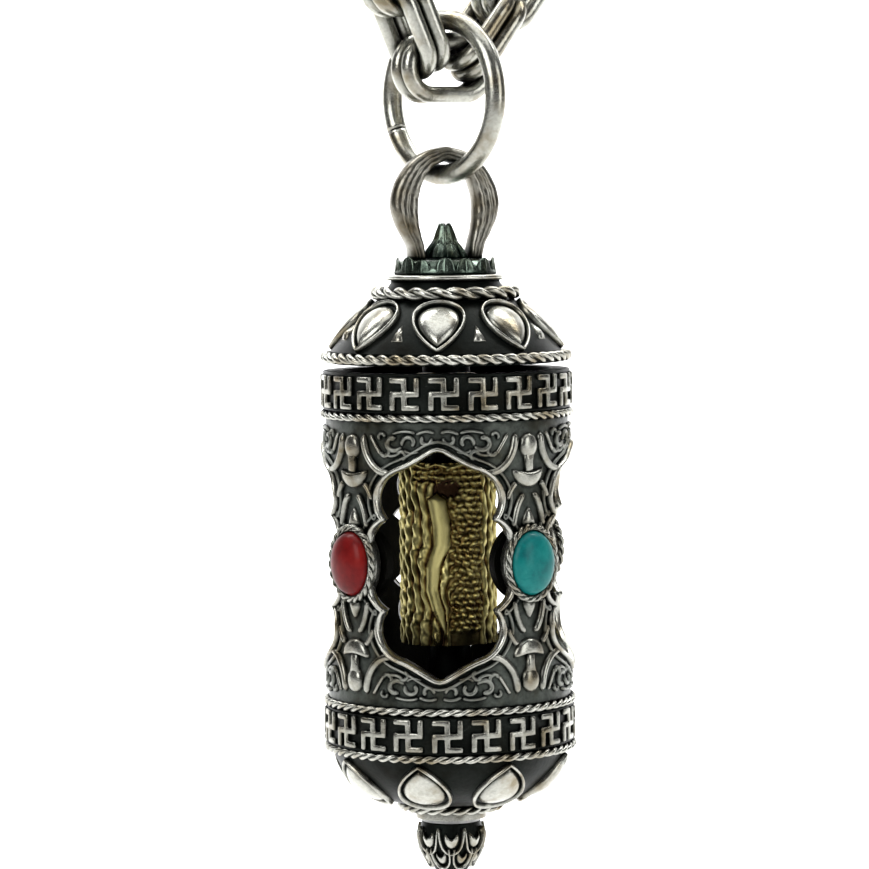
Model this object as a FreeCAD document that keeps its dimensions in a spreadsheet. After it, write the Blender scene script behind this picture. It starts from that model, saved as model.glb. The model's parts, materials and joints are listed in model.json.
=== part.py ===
import FreeCAD, Part
import math
import os
import Sketcher

# A prayer wheel pendant: a spinning openwork barrel on an axle, under a domed cap that hangs from
# a chain by a bail and a jump ring. Millimetres, +Z up, the front faces -Y.
# Heights in the sheet are measured from the barrel's top rim. Every piece is then lowered by
# hang_height, so that the origin is where the jump ring rests on the chain.

Vector = FreeCAD.Vector
UP = Vector(0, 0, 1)

DIMENSIONS = [
    # hanging parts
    ("hang_height", 23.85),
    ("ring_radius", 5.5), ("ring_wire", 0.75), ("ring_centre", 19.3), ("ring_yaw", -48.4),
    ("link_wire", 0.6), ("link_bend", 1.9), ("link_straight", 2.8), ("link_offset", 0.63),
    ("link_left_rise", 115), ("link_right_rise", 51), ("chain_yaw", 35),
    ("bail_yaw", 22), ("bail_centre", 11.7), ("bail_outer", 4.2), ("bail_top", 15.85),
    ("bail_eye_half_width", 2.15), ("bail_eye_top", 14.8), ("bail_depth", 1.7),
    ("bail_foot_half_width", 2.75), ("bail_foot_inner", 1.75), ("bail_foot_height", 8.05),
    # cap
    ("cap_rim", 8.2), ("cap_rim_low", 0.5), ("cap_rim_high", 1.36), ("cap_bend", 16),
    ("cap_top_radius", 4.9), ("cap_top", 4.95), ("cap_yaw", -4.4),
    ("cap_inner_rim", 7.6), ("cap_inner_low", 1.2), ("cap_inner_top_radius", 4.6),
    ("cap_inner_top", 4.35),
    ("cap_lower_rope_radius", 8.6), ("cap_lower_rope_wire", 0.4), ("cap_lower_rope_height", 0.96),
    ("cap_upper_rope_radius", 4.9), ("cap_upper_rope_wire", 0.5), ("cap_upper_rope_height", 5.45),
    ("neck_radius", 4.35), ("flange_radius", 4.4), ("flange_low", 6.3), ("flange_high", 6.75),
    ("flange_bore_top", 6.0),
    ("collar_radius", 3.6), ("collar_lip", 3.9), ("collar_high", 8.05), ("collar_waist", 7.3),
    ("bud_radius", 1.6), ("bud_tip_radius", 0.3), ("bud_height", 2.4),
    ("collar_edge", 0.35), ("notch_count", 14), ("notch_width", 0.5), ("notch_depth", 0.45),
    ("petal_relief", 0.34), ("petal_count", 8), ("petal_boss_inset", 0.42),
    ("cap_petal_half_width", 1.95), ("cap_petal_widest", 3.75), ("cap_petal_top", 4.85),
    ("cap_petal_point", 1.62), ("cap_petal_wire", 0.3), ("cap_wire_extra", 0.1),
    ("cap_leaf_half_width", 0.5), ("cap_leaf_low", 2.2), ("cap_leaf_high", 3.3),
    # axle
    ("axle_radius", 0.8), ("axle_low", -35), ("nut_across_corners", 1.85), ("nut_low", 3.2),
    ("stop_radius", 1.7), ("stop_low", -0.2), ("stop_high", 0.55),
    ("washer_radius", 2.1), ("washer_low", -32.35), ("washer_high", -32.15),
    # barrel
    ("barrel_yaw", -4.4), ("band_yaw", -1.3), ("barrel_bore", 7.45), ("band_seat", 8.45),
    ("waist_edge", 8.65), ("waist_bend", 490), ("waist_top", -3.4), ("waist_bottom", -23.2),
    ("shell_bottom", -27.1), ("band_face", 8.72), ("sign_face", 9.0),
    ("upper_band_low", -2.75), ("lower_band_high", -23.85), ("lower_band_low", -26.5),
    ("sign_width", 2.2), ("sign_height", 2.3), ("sign_stroke", 0.36), ("sign_count", 20),
    ("band_rope_radius", 8.76), ("band_rope_wire", 0.3), ("upper_band_rope_height", -3.07),
    ("lower_band_rope_top", -23.52), ("lower_band_rope_low", -26.8),
    ("window_centre", -13.3), ("window_half_height", 8.1), ("window_count", 4),
    ("frame_width", 0.42), ("frame_relief", 0.45), ("lip_gap", 0.2), ("lip_width", 0.3),
    ("lip_relief", 0.28), ("ornament_relief", 0.3), ("scroll_relief", 0.18), ("ornament_gap", 0.05),
    ("gem_half_width", 1.9), ("gem_half_height", 2.25), ("gem_rise", 0.9), ("gem_seat", 8.0),
    ("gem_dome_spread", 1.15),
    ("gem_girdle", 9.0), ("bezel_width", 0.45), ("bezel_face", 9.2), ("gem_angle", 45),
    # bearings and ends
    ("plate_high", -0.6), ("plate_low", -1.4), ("bush_radius", 1.5), ("bush_bore", 0.85),
    ("bush_flange", 2.1), ("upper_bush_high", -0.3), ("floor_plate_high", -25.6),
    ("floor_plate_low", -26.4), ("core_tube_bore", 0.95),
    ("base_edge", 8.4), ("base_bend", 5.4), ("base_floor_radius", 3.5), ("base_floor", -30.85),
    ("base_inner_bend", 4.85), ("base_inner_floor_radius", 3.3), ("base_inner_lip", 0.6),
    ("base_inner_floor", -30.25), ("base_spigot", 7.45), ("base_spigot_inner", 6.8),
    ("base_spigot_high", -26.4),
    ("base_rope_radius", 3.5), ("base_rope_wire", 0.35), ("base_rope_height", -31.2),
    ("base_neck", 3.1), ("base_neck_low", -31.6), ("base_flange", 2.55), ("base_flange_low", -32.1),
    ("lower_bush_high", -30.0), ("base_petal_yaw", 7),
    ("base_petal_half_width", 2.1), ("base_petal_widest", -29.6), ("base_petal_bottom", -30.6),
    ("base_petal_point", -27.3), ("base_petal_wire", 0.28), ("base_wire_extra", 0.08),
    # scroll and its gilt sleeve
    ("sleeve_radius", 3.6), ("sleeve_bore", 3.05), ("sleeve_high", -6.5), ("sleeve_low", -19.5),
    ("sleeve_disc", 0.6), ("sleeve_inset", 0.5), ("scroll_radius", 2.9),
    # finial
    ("finial_neck", 2.35), ("finial_shoulder", 2.5), ("finial_shoulder_low", -33.1),
    ("finial_waist", 1.25), ("finial_waist_low", -35.6), ("finial_tip", 0.5),
    ("finial_tip_low", -36.9), ("finial_bottom", -37.1), ("finial_relief", 0.32),
    ("finial_petal_half_width", 0.72), ("finial_petal_half_height", 1.5),
    ("finial_petal_centre", -33.9), ("finial_petal_low", 0.1), ("finial_petal_length", 3.0),
]

document = FreeCAD.newDocument("prayer_wheel")
sheet = document.addObject("Spreadsheet::Sheet", "Spec")
for row, (alias, number) in enumerate(DIMENSIONS, start=1):
    sheet.set(f"A{row}", alias)
    sheet.set(f"B{row}", str(number))
    sheet.setAlias(f"B{row}", alias)
document.recompute()

pieces = []

# Cutting tools reach past the barrel's widest radius.
TOOL_REACH = 12
# The gap left round a bezel by whatever meets it.
FIT = 0.02


def size(expression):
    """Read a sum of sheet names and plain numbers, such as 'cap_top - plate_low'."""
    total = 0.0
    sign = 1
    for word in expression.split():
        if word == "+":
            sign = 1
        elif word == "-":
            sign = -1
        elif word[0].isdigit():
            total += sign * float(word)
        else:
            total += sign * float(sheet.get(word))
    return total


def bound(expression):
    """Write the same sum as a FreeCAD expression that refers to the sheet."""
    return " ".join("Spec." + word if word[0].isalpha() else word for word in expression.split())


def bind(item, **properties):
    for name, expression in properties.items():
        item.setExpression(name.replace("__", "."), bound(expression))


def place(item, label, yaw=None):
    """Name a finished piece, turn it about the axle and lower it below the hanging point."""
    item.Label = label
    rotation = FreeCAD.Rotation(UP, size(yaw) if yaw else 0)
    item.Placement = FreeCAD.Placement(Vector(0, 0, -size("hang_height")), rotation)
    item.setExpression("Placement.Base.z", "-Spec.hang_height")
    if yaw:
        item.setExpression("Placement.Rotation.Angle", bound(yaw))
    pieces.append(item)
    return item


def feature(label, shape, yaw=None):
    item = document.addObject("Part::Feature", label + "_shape")
    item.Shape = shape
    return place(item, label, yaw)


# ---- turned pieces: a closed profile in the XZ plane, revolved about the axle ----

def arc_middle(start, end, radius, bulge):
    """The middle point of an arc between two profile points; bulge is +1 outward, -1 inward."""
    chord = end - start
    half = chord.Length / 2
    sagitta = abs(radius) - math.sqrt(radius * radius - half * half)
    normal = Vector(chord.y, -chord.x, 0).normalize()
    if normal.x < 0:
        normal = -normal
    return (start + end) / 2 + normal * sagitta * bulge


def turned(name, profile):
    """profile holds (radius, height) or (radius, height, arc radius, bulge) for the run after it."""
    body = document.addObject("PartDesign::Body", name + "_body")
    sketch = body.newObject("Sketcher::SketchObject", name + "_profile")
    plane = [item for item in body.Origin.OriginFeatures if item.Role == "XZ_Plane"][0]
    sketch.AttachmentSupport = [(plane, "")]
    sketch.MapMode = "FlatFace"
    points = [Vector(size(vertex[0]), size(vertex[1]), 0) for vertex in profile]
    ends = []
    for index, vertex in enumerate(profile):
        start = points[index]
        end = points[(index + 1) % len(points)]
        if len(vertex) == 4:
            middle = arc_middle(start, end, size(vertex[2]), vertex[3])
            clockwise = (middle - start).cross(end - start).z < 0
            arc = Part.Arc(end, middle, start) if clockwise else Part.Arc(start, middle, end)
            sketch.addGeometry(arc, False)
            ends.append((2, 1) if clockwise else (1, 2))
        else:
            sketch.addGeometry(Part.LineSegment(start, end), False)
            ends.append((1, 2))
    for index, vertex in enumerate(profile):
        following = (index + 1) % len(points)
        first = ends[index][0]
        sketch.addConstraint(Sketcher.Constraint(
            "Coincident", index, ends[index][1], following, ends[following][0]))
        if vertex[0] == "0":
            sketch.addConstraint(Sketcher.Constraint("PointOnObject", index, first, -2))
        else:
            across = sketch.addConstraint(Sketcher.Constraint(
                "DistanceX", -1, 1, index, first, points[index].x))
            sketch.setExpression(f"Constraints[{across}]", bound(vertex[0]))
        along = sketch.addConstraint(Sketcher.Constraint(
            "DistanceY", -1, 1, index, first, points[index].y))
        sketch.setExpression(f"Constraints[{along}]", bound(vertex[1]))
        if len(vertex) == 4:
            bend = sketch.addConstraint(Sketcher.Constraint("Radius", index, size(vertex[2])))
            sketch.setExpression(f"Constraints[{bend}]", bound(vertex[2]))
    revolution = body.newObject("PartDesign::Revolution", name + "_turning")
    revolution.Profile = sketch
    revolution.ReferenceAxis = (sketch, ["V_Axis"])
    revolution.Angle = 360
    return body


def turned_piece(label, profile, yaw=None):
    return place(turned(label, profile), label, yaw)


def ring_profile(inner, outer, low, high):
    return [(inner, low), (outer, low), (outer, high), (inner, high)]


def rope(label, radius, wire, height):
    torus = document.addObject("Part::Torus", label + "_torus")
    bind(torus, Radius1=radius, Radius2=wire)
    place(torus, label)
    torus.setExpression("Placement.Base.z", bound(height) + " - Spec.hang_height")


# ---- flat outlines, pressed on to turned surfaces ----

def polyline(points):
    return Part.Face(Part.makePolygon([Vector(*point) for point in points + points[:1]]))


def stroke(start, end, width):
    """A flat round-ended bar between two (across, height) points."""
    begin = Vector(start[0], 0, start[1])
    finish = Vector(end[0], 0, end[1])
    along = (finish - begin).normalize()
    side = Vector(along.z, 0, -along.x) * (width / 2)
    cap = along * (width / 2)
    edges = [
        Part.LineSegment(begin + side, finish + side).toShape(),
        Part.Arc(finish + side, finish + cap, finish - side).toShape(),
        Part.LineSegment(finish - side, begin - side).toShape(),
        Part.Arc(begin - side, begin - cap, begin + side).toShape(),
    ]
    return Part.Face(Part.Wire(edges))


def hook(centre, radius, width, start, sweep):
    """A flat curved bar: part of a ring about a point, angles in degrees from +X."""
    middle = Vector(centre[0], 0, centre[1])

    def at(distance, angle):
        turn = math.radians(angle)
        return middle + Vector(math.cos(turn), 0, math.sin(turn)) * distance

    inner = radius - width / 2
    outer = radius + width / 2
    half = start + sweep / 2
    end = start + sweep
    edges = [
        Part.Arc(at(outer, start), at(outer, half), at(outer, end)).toShape(),
        Part.LineSegment(at(outer, end), at(inner, end)).toShape(),
        Part.Arc(at(inner, end), at(inner, half), at(inner, start)).toShape(),
        Part.LineSegment(at(inner, start), at(outer, start)).toShape(),
    ]
    return Part.Face(Part.Wire(edges))


def oval(half_width, half_height, centre):
    """An upright ellipse in the XZ plane."""
    top = Vector(0, 0, centre + half_height)
    side = Vector(half_width, 0, centre)
    middle = Vector(0, 0, centre)
    return Part.Face(Part.Wire(Part.Ellipse(top, side, middle).toShape()))


def teardrop(half_width, wide_height, wide_radius_top, point_height):
    """A petal outline: a round end at wide_radius_top and a point at point_height."""
    wide_left = Vector(-half_width, 0, wide_height)
    wide_right = Vector(half_width, 0, wide_height)
    rounded = Vector(0, 0, wide_radius_top)
    point = Vector(0, 0, point_height)
    lean = (point_height - wide_height) / 2
    bulge_left = Vector(-half_width * 0.68, 0, wide_height + lean)
    bulge_right = Vector(half_width * 0.68, 0, wide_height + lean)
    edges = [
        Part.Arc(wide_left, rounded, wide_right).toShape(),
        Part.Arc(wide_right, bulge_right, point).toShape(),
        Part.Arc(point, bulge_left, wide_left).toShape(),
    ]
    return Part.Face(Part.Wire(edges))


def leaf_tip(half_width, low, high):
    """The small pointed leaf between two petals."""
    return polyline([(-half_width, 0, low), (half_width, 0, low), (0, 0, high)])


def shrunk(face, distance):
    return Part.Face(face.OuterWire.makeOffset2D(-distance))


def mirrored(face):
    return face.mirror(Vector(0, 0, 0), Vector(1, 0, 0))


def turned_over(face):
    """Mirror a flat outline top to bottom about the middle of the windows."""
    return face.mirror(Vector(0, 0, size("window_centre")), UP)


def prism(face):
    """A flat outline carried from the axle out through the front."""
    return face.extrude(Vector(0, -TOOL_REACH, 0))


def revolved(points, arc_middles=None):
    """A solid of revolution from (radius, height) points; arc_middles bends named runs."""
    arc_middles = arc_middles or {}
    edges = []
    for index, point in enumerate(points):
        start = Vector(point[0], 0, point[1])
        following = points[(index + 1) % len(points)]
        end = Vector(following[0], 0, following[1])
        if index in arc_middles:
            bend = arc_middles[index]
            edges.append(Part.Arc(start, Vector(bend[0], 0, bend[1]), end).toShape())
        else:
            edges.append(Part.LineSegment(start, end).toShape())
    return Part.Face(Part.Wire(edges)).revolve(Vector(0, 0, 0), UP, 360)


def around(shape, count, first=0.0):
    """Equal copies of a shape about the axle."""
    copies = []
    for index in range(int(count)):
        copy = shape.copy()
        copy.rotate(Vector(0, 0, 0), UP, first + 360.0 * index / count)
        copies.append(copy)
    return copies


def solids_of(shapes):
    """The solids in a list of shapes, as one group of separate pieces."""
    return Part.makeCompound([solid for shape in shapes for solid in shape.Solids])


def waist_radius(height):
    """The concave barrel's radius at a height between its two bands."""
    bend = size("waist_bend")
    top = size("waist_top")
    bottom = size("waist_bottom")
    middle = (top + bottom) / 2
    half = (top - bottom) / 2
    centre = size("waist_edge") + math.sqrt(bend * bend - half * half)
    return centre - math.sqrt(bend * bend - (height - middle) ** 2)


def waist_layer(relief, sunk=0.0):
    """The skin that lies on the concave waist, from its surface to relief above it."""
    top = size("waist_top")
    bottom = size("waist_bottom")
    middle = (top + bottom) / 2
    edge = size("waist_edge") - sunk
    narrow = waist_radius(middle) - sunk
    outer_edge = size("waist_edge") + relief
    outer_narrow = waist_radius(middle) + relief
    points = [(edge, bottom), (outer_edge, bottom), (outer_edge, top), (edge, top)]
    return revolved(points, {1: (outer_narrow, middle), 3: (narrow, middle)})


def arc_points(start, end, radius, bulge):
    middle = arc_middle(Vector(start[0], start[1], 0), Vector(end[0], end[1], 0), radius, bulge)
    return (middle.x, middle.y)


def cap_layer(relief):
    """The skin on the cap's sloping side."""
    low = (size("cap_rim"), size("cap_rim_high"))
    high = (size("cap_top_radius"), size("cap_top"))
    reach = relief * 1.4
    low_out = (low[0] + reach, low[1])
    high_out = (high[0] + reach, high[1])
    bend = size("cap_bend")
    return revolved([low, low_out, high_out, high],
                    {1: arc_points(low_out, high_out, bend, 1), 3: arc_points(high, low, bend, 1)})


def base_layer(relief):
    """The skin on the base's bowl."""
    high = (size("base_edge"), size("shell_bottom"))
    low = (size("base_floor_radius"), size("base_floor"))
    high_out = (high[0] + relief, high[1])
    low_out = (low[0] + relief, low[1] - relief)
    bend = size("base_bend")
    return revolved([low, low_out, high_out, high],
                    {1: arc_points(low_out, high_out, bend + relief, 1),
                     3: arc_points(high, low, bend, 1)})


# ---- chain, jump ring and bail ----

def chain_link(centre, direction, normal):
    """One closed link: two straight sides and two round ends, about its centre."""
    bend = size("link_bend")
    half = size("link_straight") / 2
    across = direction.cross(normal)
    right = centre + direction * half
    left = centre - direction * half
    edges = [
        Part.LineSegment(left + across * bend, right + across * bend).toShape(),
        Part.Arc(right + across * bend, right + direction * bend, right - across * bend).toShape(),
        Part.LineSegment(right - across * bend, left - across * bend).toShape(),
        Part.Arc(left - across * bend, left - direction * bend, left + across * bend).toShape(),
    ]
    wire = Part.Circle(left + across * bend, direction, size("link_wire"))
    return Part.Wire(edges).makePipeShell([Part.Wire(wire.toShape())], True, False)


def link_pair(centre, direction, normal):
    """Two links side by side, as a doubled chain has them."""
    offset = normal * size("link_offset")
    return Part.makeCompound([chain_link(centre - offset, direction, normal),
                              chain_link(centre + offset, direction, normal)])


def chain():
    bend = size("link_bend")
    straight = size("link_straight")
    seat = Vector(0, 0, size("hang_height - link_wire - link_bend"))
    yaw = math.radians(size("chain_yaw"))
    front = Vector(math.sin(yaw), -math.cos(yaw), 0)
    east = Vector(math.cos(yaw), math.sin(yaw), 0)
    feature("chain_link_middle", link_pair(seat, east, front))
    for side, rise, reach in (("left", "link_left_rise", -1), ("right", "link_right_rise", 1)):
        angle = math.radians(size(rise))
        direction = east * math.cos(angle) + UP * math.sin(angle)
        normal = direction.cross(front)
        pivot = seat + east * (reach * straight / 2)
        inner_centre = pivot + direction * (bend + straight / 2)
        feature(f"chain_link_{side}_inner", link_pair(inner_centre, direction, normal))
        outer_centre = inner_centre + direction * (bend + straight)
        feature(f"chain_link_{side}_outer", link_pair(outer_centre, direction, front))


def jump_ring():
    torus = document.addObject("Part::Torus", "jump_ring_torus")
    bind(torus, Radius1="ring_radius", Radius2="ring_wire")
    torus.Label = "jump_ring"
    upright = FreeCAD.Rotation(UP, size("ring_yaw")) * FreeCAD.Rotation(Vector(1, 0, 0), 90)
    torus.Placement = FreeCAD.Placement(Vector(0, 0, 0), upright)
    torus.setExpression("Placement.Base.z", bound("ring_centre - hang_height"))
    pieces.append(torus)


def bail():
    """A horseshoe loop, thick at the sides and thin at the top, standing on two feet."""
    centre = size("bail_centre")
    foot = size("bail_foot_height")
    outer = size("bail_outer")
    foot_outer = size("bail_foot_half_width")
    foot_inner = size("bail_foot_inner")
    eye = size("bail_eye_half_width")
    eye_top = size("bail_eye_top")
    flare = math.radians(-42)
    flare_point = Vector(outer * math.cos(flare), 0, centre + outer * math.sin(flare))
    eye_low = centre - eye * 0.9

    def half(sign):
        side = Vector(sign, 1, 1)

        def at(across, height):
            return Vector(across * side.x, 0, height)

        shoulder = math.radians(45)
        return [
            Part.Arc(at(0, size("bail_top")),
                     at(outer * math.sin(shoulder), centre + outer * math.cos(shoulder)),
                     at(outer, centre)).toShape(),
            Part.Arc(at(outer, centre),
                     at(outer * math.cos(flare / 2), centre + outer * math.sin(flare / 2)),
                     at(flare_point.x, flare_point.z)).toShape(),
            Part.LineSegment(at(flare_point.x, flare_point.z), at(foot_outer, foot)).toShape(),
            Part.LineSegment(at(foot_outer, foot), at(foot_inner, foot)).toShape(),
            Part.LineSegment(at(foot_inner, foot), at(eye, eye_low)).toShape(),
            Part.LineSegment(at(eye, eye_low), at(eye, centre)).toShape(),
            Part.Arc(at(eye, centre), at(eye * 0.78, centre + (eye_top - centre) * 0.74),
                     at(0, eye_top)).toShape(),
        ]

    edges = half(1) + half(-1)
    outline = Part.Face(Part.Wire(Part.__sortEdges__(edges)))
    depth = size("bail_depth")
    outline.translate(Vector(0, depth / 2, 0))
    loop = outline.extrude(Vector(0, -depth, 0))
    feature("bail", loop, yaw="bail_yaw")


# ---- cap ----

def cap():
    turned_piece("cap_dome", [
        ("cap_rim", "cap_rim_low"),
        ("cap_rim", "cap_rim_high", "cap_bend", 1),
        ("cap_top_radius", "cap_top"),
        ("axle_radius", "cap_top"),
        ("axle_radius", "cap_inner_top"),
        ("cap_inner_top_radius", "cap_inner_top", "cap_bend", 1),
        ("cap_inner_rim", "cap_inner_low"),
        ("cap_inner_rim", "cap_rim_low"),
    ])
    rope("cap_lower_rope", "cap_lower_rope_radius", "cap_lower_rope_wire", "cap_lower_rope_height")
    rope("cap_upper_rope", "cap_upper_rope_radius", "cap_upper_rope_wire", "cap_upper_rope_height")
    turned_piece("cap_flange", [
        ("0", "flange_high"), ("flange_radius", "flange_high"), ("flange_radius", "flange_low"),
        ("neck_radius", "flange_low"), ("neck_radius", "cap_top"), ("axle_radius", "cap_top"),
        ("axle_radius", "flange_bore_top"), ("0", "flange_bore_top"),
    ])
    count = size("petal_count")
    relief = size("petal_relief")
    outline = teardrop(size("cap_petal_half_width"), size("cap_petal_widest"),
                       size("cap_petal_top"), size("cap_petal_point"))
    boss = shrunk(outline, size("petal_boss_inset"))
    skin = cap_layer(relief)
    crest = cap_layer(relief + size("cap_wire_extra"))
    wires = prism(outline).cut(prism(shrunk(outline, size("cap_petal_wire"))))
    feature("cap_petals", solids_of(around(prism(boss).common(skin), count)), "cap_yaw")
    feature("cap_petal_wires", solids_of(around(wires.common(crest), count)), "cap_yaw")
    leaf = leaf_tip(size("cap_leaf_half_width"), size("cap_leaf_low"), size("cap_leaf_high"))
    leaves = around(prism(leaf).common(cap_layer(relief / 2)), count, 180.0 / count)
    feature("cap_leaf_tips", solids_of(leaves), "cap_yaw")


def crown():
    collar = turned("crown_collar", [
        ("0", "flange_high"), ("collar_radius", "flange_high"), ("collar_radius", "collar_waist"),
        ("collar_lip", "collar_high - collar_edge"), ("collar_lip", "collar_high"), ("0", "collar_high"),
    ])
    notch_height = size("collar_high") - size("collar_waist")
    tool = document.addObject("Part::Feature", "crown_notches")
    width = size("notch_width")
    notch = Part.makeBox(1.0, width, notch_height,
                         Vector(size("collar_lip - notch_depth"), -width / 2, size("collar_waist")))
    tool.Shape = Part.makeCompound(around(notch, size("notch_count")))
    cut = document.addObject("Part::Cut", "crown_cut")
    cut.Base = collar
    cut.Tool = tool
    place(cut, "crown_collar")
    cone = document.addObject("Part::Cone", "crown_bud_cone")
    bind(cone, Radius1="bud_radius", Radius2="bud_tip_radius", Height="bud_height")
    place(cone, "crown_bud")
    cone.setExpression("Placement.Base.z", bound("collar_high - hang_height"))


def axle():
    turned_piece("axle_rod", [("0", "axle_low"), ("axle_radius", "axle_low"),
                              ("axle_radius", "flange_bore_top"), ("0", "flange_bore_top")])
    hexagon = document.addObject("Part::Prism", "nut_blank")
    hexagon.Polygon = 6
    bind(hexagon, Circumradius="nut_across_corners", Height="cap_inner_top - nut_low")
    hexagon.setExpression("Placement.Base.z", bound("nut_low"))
    bore = document.addObject("Part::Cylinder", "nut_bore")
    bind(bore, Radius="axle_radius", Height="cap_inner_top - nut_low")
    bore.setExpression("Placement.Base.z", bound("nut_low"))
    nut = document.addObject("Part::Cut", "nut_cut")
    nut.Base = hexagon
    nut.Tool = bore
    place(nut, "axle_nut")
    turned_piece("axle_stop", ring_profile("axle_radius", "stop_radius", "stop_low", "stop_high"))
    turned_piece("lower_washer",
                 ring_profile("axle_radius", "washer_radius", "washer_low", "washer_high"))


# ---- barrel ----

def window_outline(grow=0.0):
    """The cusped window: a pointed top, a rounded shoulder, a cusp, and straight sides."""
    centre = size("window_centre")
    apex = size("window_half_height")

    def corner(sign_x, sign_z):
        def at(across, height):
            return Vector(sign_x * across, 0, centre + sign_z * height)

        return [
            Part.Arc(at(0, apex), at(1.2, 7.3), at(2.5, 6.6)).toShape(),
            Part.Arc(at(2.5, 6.6), at(3.65, 5.95), at(4.15, 4.9)).toShape(),
            Part.Arc(at(4.15, 4.9), at(4.1, 4.0), at(3.65, 3.15)).toShape(),
            Part.Arc(at(3.65, 3.15), at(4.35, 2.6), at(4.75, 1.7)).toShape(),
            Part.LineSegment(at(4.75, 1.7), at(4.75, 0)).toShape(),
        ]

    edges = corner(1, 1) + corner(1, -1) + corner(-1, -1) + corner(-1, 1)
    wire = Part.Wire(Part.__sortEdges__(edges))
    if grow:
        wire = wire.makeOffset2D(grow)
    return Part.Face(wire)


def bezel_solid(half_width, half_height, depth):
    """An oval post standing out from the axle at the middle of the windows."""
    outline = oval(half_width, half_height, size("window_centre"))
    return outline.extrude(Vector(0, -depth, 0))


def gem_seat_core():
    """The round core that stops the posts short of the sleeve."""
    return Part.makeCylinder(size("gem_seat"), TOOL_REACH,
                             Vector(0, 0, size("window_centre") - TOOL_REACH / 2))


def bezel_post(gap):
    """A post as wide as a bezel and its clearance, used to cut what lies round it."""
    width = size("bezel_width") + gap
    return bezel_solid(size("gem_half_width") + width, size("gem_half_height") + width, TOOL_REACH)


def gem():
    """A domed oval stone: an oval post whose front is trimmed to a wider ellipsoid."""
    centre = size("window_centre")
    girdle = size("gem_girdle")
    rise = size("gem_rise")
    spread = size("gem_dome_spread")
    half_width = size("gem_half_width")
    half_height = size("gem_half_height")
    post = bezel_solid(half_width, half_height, TOOL_REACH).cut(gem_seat_core())
    depth = rise / (1 - math.sqrt(1 - 1 / spread ** 2))
    stretch = FreeCAD.Matrix()
    stretch.scale(half_width * spread, depth, half_height * spread)
    dome = Part.makeSphere(1.0).transformGeometry(stretch)
    dome.translate(Vector(0, depth - girdle - rise, centre))
    front = Part.makeBox(2 * TOOL_REACH, TOOL_REACH, 2 * TOOL_REACH,
                         Vector(-TOOL_REACH, FIT - girdle - TOOL_REACH, centre - TOOL_REACH))
    return post.cut(front.cut(dome))


def barrel_shell():
    body = turned("barrel_shell", [
        ("barrel_bore", "shell_bottom"), ("band_seat", "shell_bottom"),
        ("band_seat", "waist_bottom"), ("waist_edge", "waist_bottom", "waist_bend", -1),
        ("waist_edge", "waist_top"), ("band_seat", "waist_top"), ("band_seat", "0"),
        ("barrel_bore", "0"),
    ])
    tool = document.addObject("Part::Feature", "window_tools")
    windows = around(prism(window_outline()), size("window_count"))
    posts = Part.makeCompound(around(bezel_post(0), size("window_count"), size("gem_angle")))
    shaped = Part.makeCompound(windows).cut(posts)
    seats = posts.cut(gem_seat_core())
    tool.Shape = Part.makeCompound(shaped.Solids + seats.Solids)
    cut = document.addObject("Part::Cut", "barrel_shell_cut")
    cut.Base = body
    cut.Tool = tool
    place(cut, "barrel_shell", "barrel_yaw")


def fret_sign(middle):
    """The upright auspicious sign: a cross whose arms turn to the left."""
    half_width = size("sign_width") / 2
    half_height = size("sign_height") / 2
    bar = size("sign_stroke")
    boxes = [
        (-bar / 2, -half_height, bar / 2, half_height),
        (-half_width, -bar / 2, half_width, bar / 2),
        (-half_width, half_height - bar, 0, half_height),
        (half_width - bar, 0, half_width, half_height),
        (0, -half_height, half_width, -half_height + bar),
        (-half_width, -half_height, -half_width + bar, 0),
    ]
    parts = []
    for left, low, right, high in boxes:
        parts.append(Part.makeBox(right - left, 1.0, high - low,
                                  Vector(left, -size("sign_face") - 0.4, middle + low)))
    return parts[0].multiFuse(parts[1:])


def fret_band(label, low, high):
    base = size(low)
    height = size(high) - base
    face = size("band_face")
    strip = Part.makeCylinder(face, height, Vector(0, 0, base))
    seat = Part.makeCylinder(size("band_seat"), height, Vector(0, 0, base))
    outside = Part.makeCylinder(size("sign_face"), height, Vector(0, 0, base))
    sign = fret_sign(base + height / 2).common(outside)
    band = strip.multiFuse(around(sign, size("sign_count"))).cut(seat)
    feature(label, band, "band_yaw")


def barrel_bands():
    fret_band("upper_fret_band", "upper_band_low", "0")
    fret_band("lower_fret_band", "lower_band_low", "lower_band_high")
    for label, height in (("upper_band_rope", "upper_band_rope_height"),
                          ("lower_band_rope_top", "lower_band_rope_top"),
                          ("lower_band_rope_bottom", "lower_band_rope_low")):
        rope(label, "band_rope_radius", "band_rope_wire", height)


def window_frames():
    count = size("window_count")
    width = size("frame_width")
    bezels = Part.makeCompound(around(bezel_post(FIT), count, size("gem_angle")))
    inner = window_outline()
    edge = window_outline(width)
    lip_inner = window_outline(width + size("lip_gap"))
    lip_outer = window_outline(width + size("lip_gap") + size("lip_width"))
    frame = prism(edge).cut(prism(inner)).common(waist_layer(size("frame_relief")))
    lip = prism(lip_outer).cut(prism(lip_inner)).common(waist_layer(size("lip_relief")))
    frames = [item.cut(bezels) for item in around(frame, count)]
    lips = [item.cut(bezels) for item in around(lip, count)]
    feature("window_frames", solids_of(frames), "barrel_yaw")
    feature("window_frame_lips", solids_of(lips), "barrel_yaw")


def gems():
    count = size("window_count")
    angle = size("gem_angle")
    half_width = size("gem_half_width")
    half_height = size("gem_half_height")
    width = size("bezel_width")
    cup = bezel_solid(half_width + width, half_height + width, size("bezel_face"))
    cup = cup.cut(bezel_solid(half_width, half_height, TOOL_REACH)).cut(gem_seat_core())
    feature("cabochon_bezels", solids_of(around(cup, count, angle)), "barrel_yaw")
    stone = gem()
    feature("turquoise_cabochons", solids_of(around(stone, count / 2, angle)), "barrel_yaw")
    feature("coral_cabochons", solids_of(around(stone, count / 2, angle - 90)), "barrel_yaw")


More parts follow.
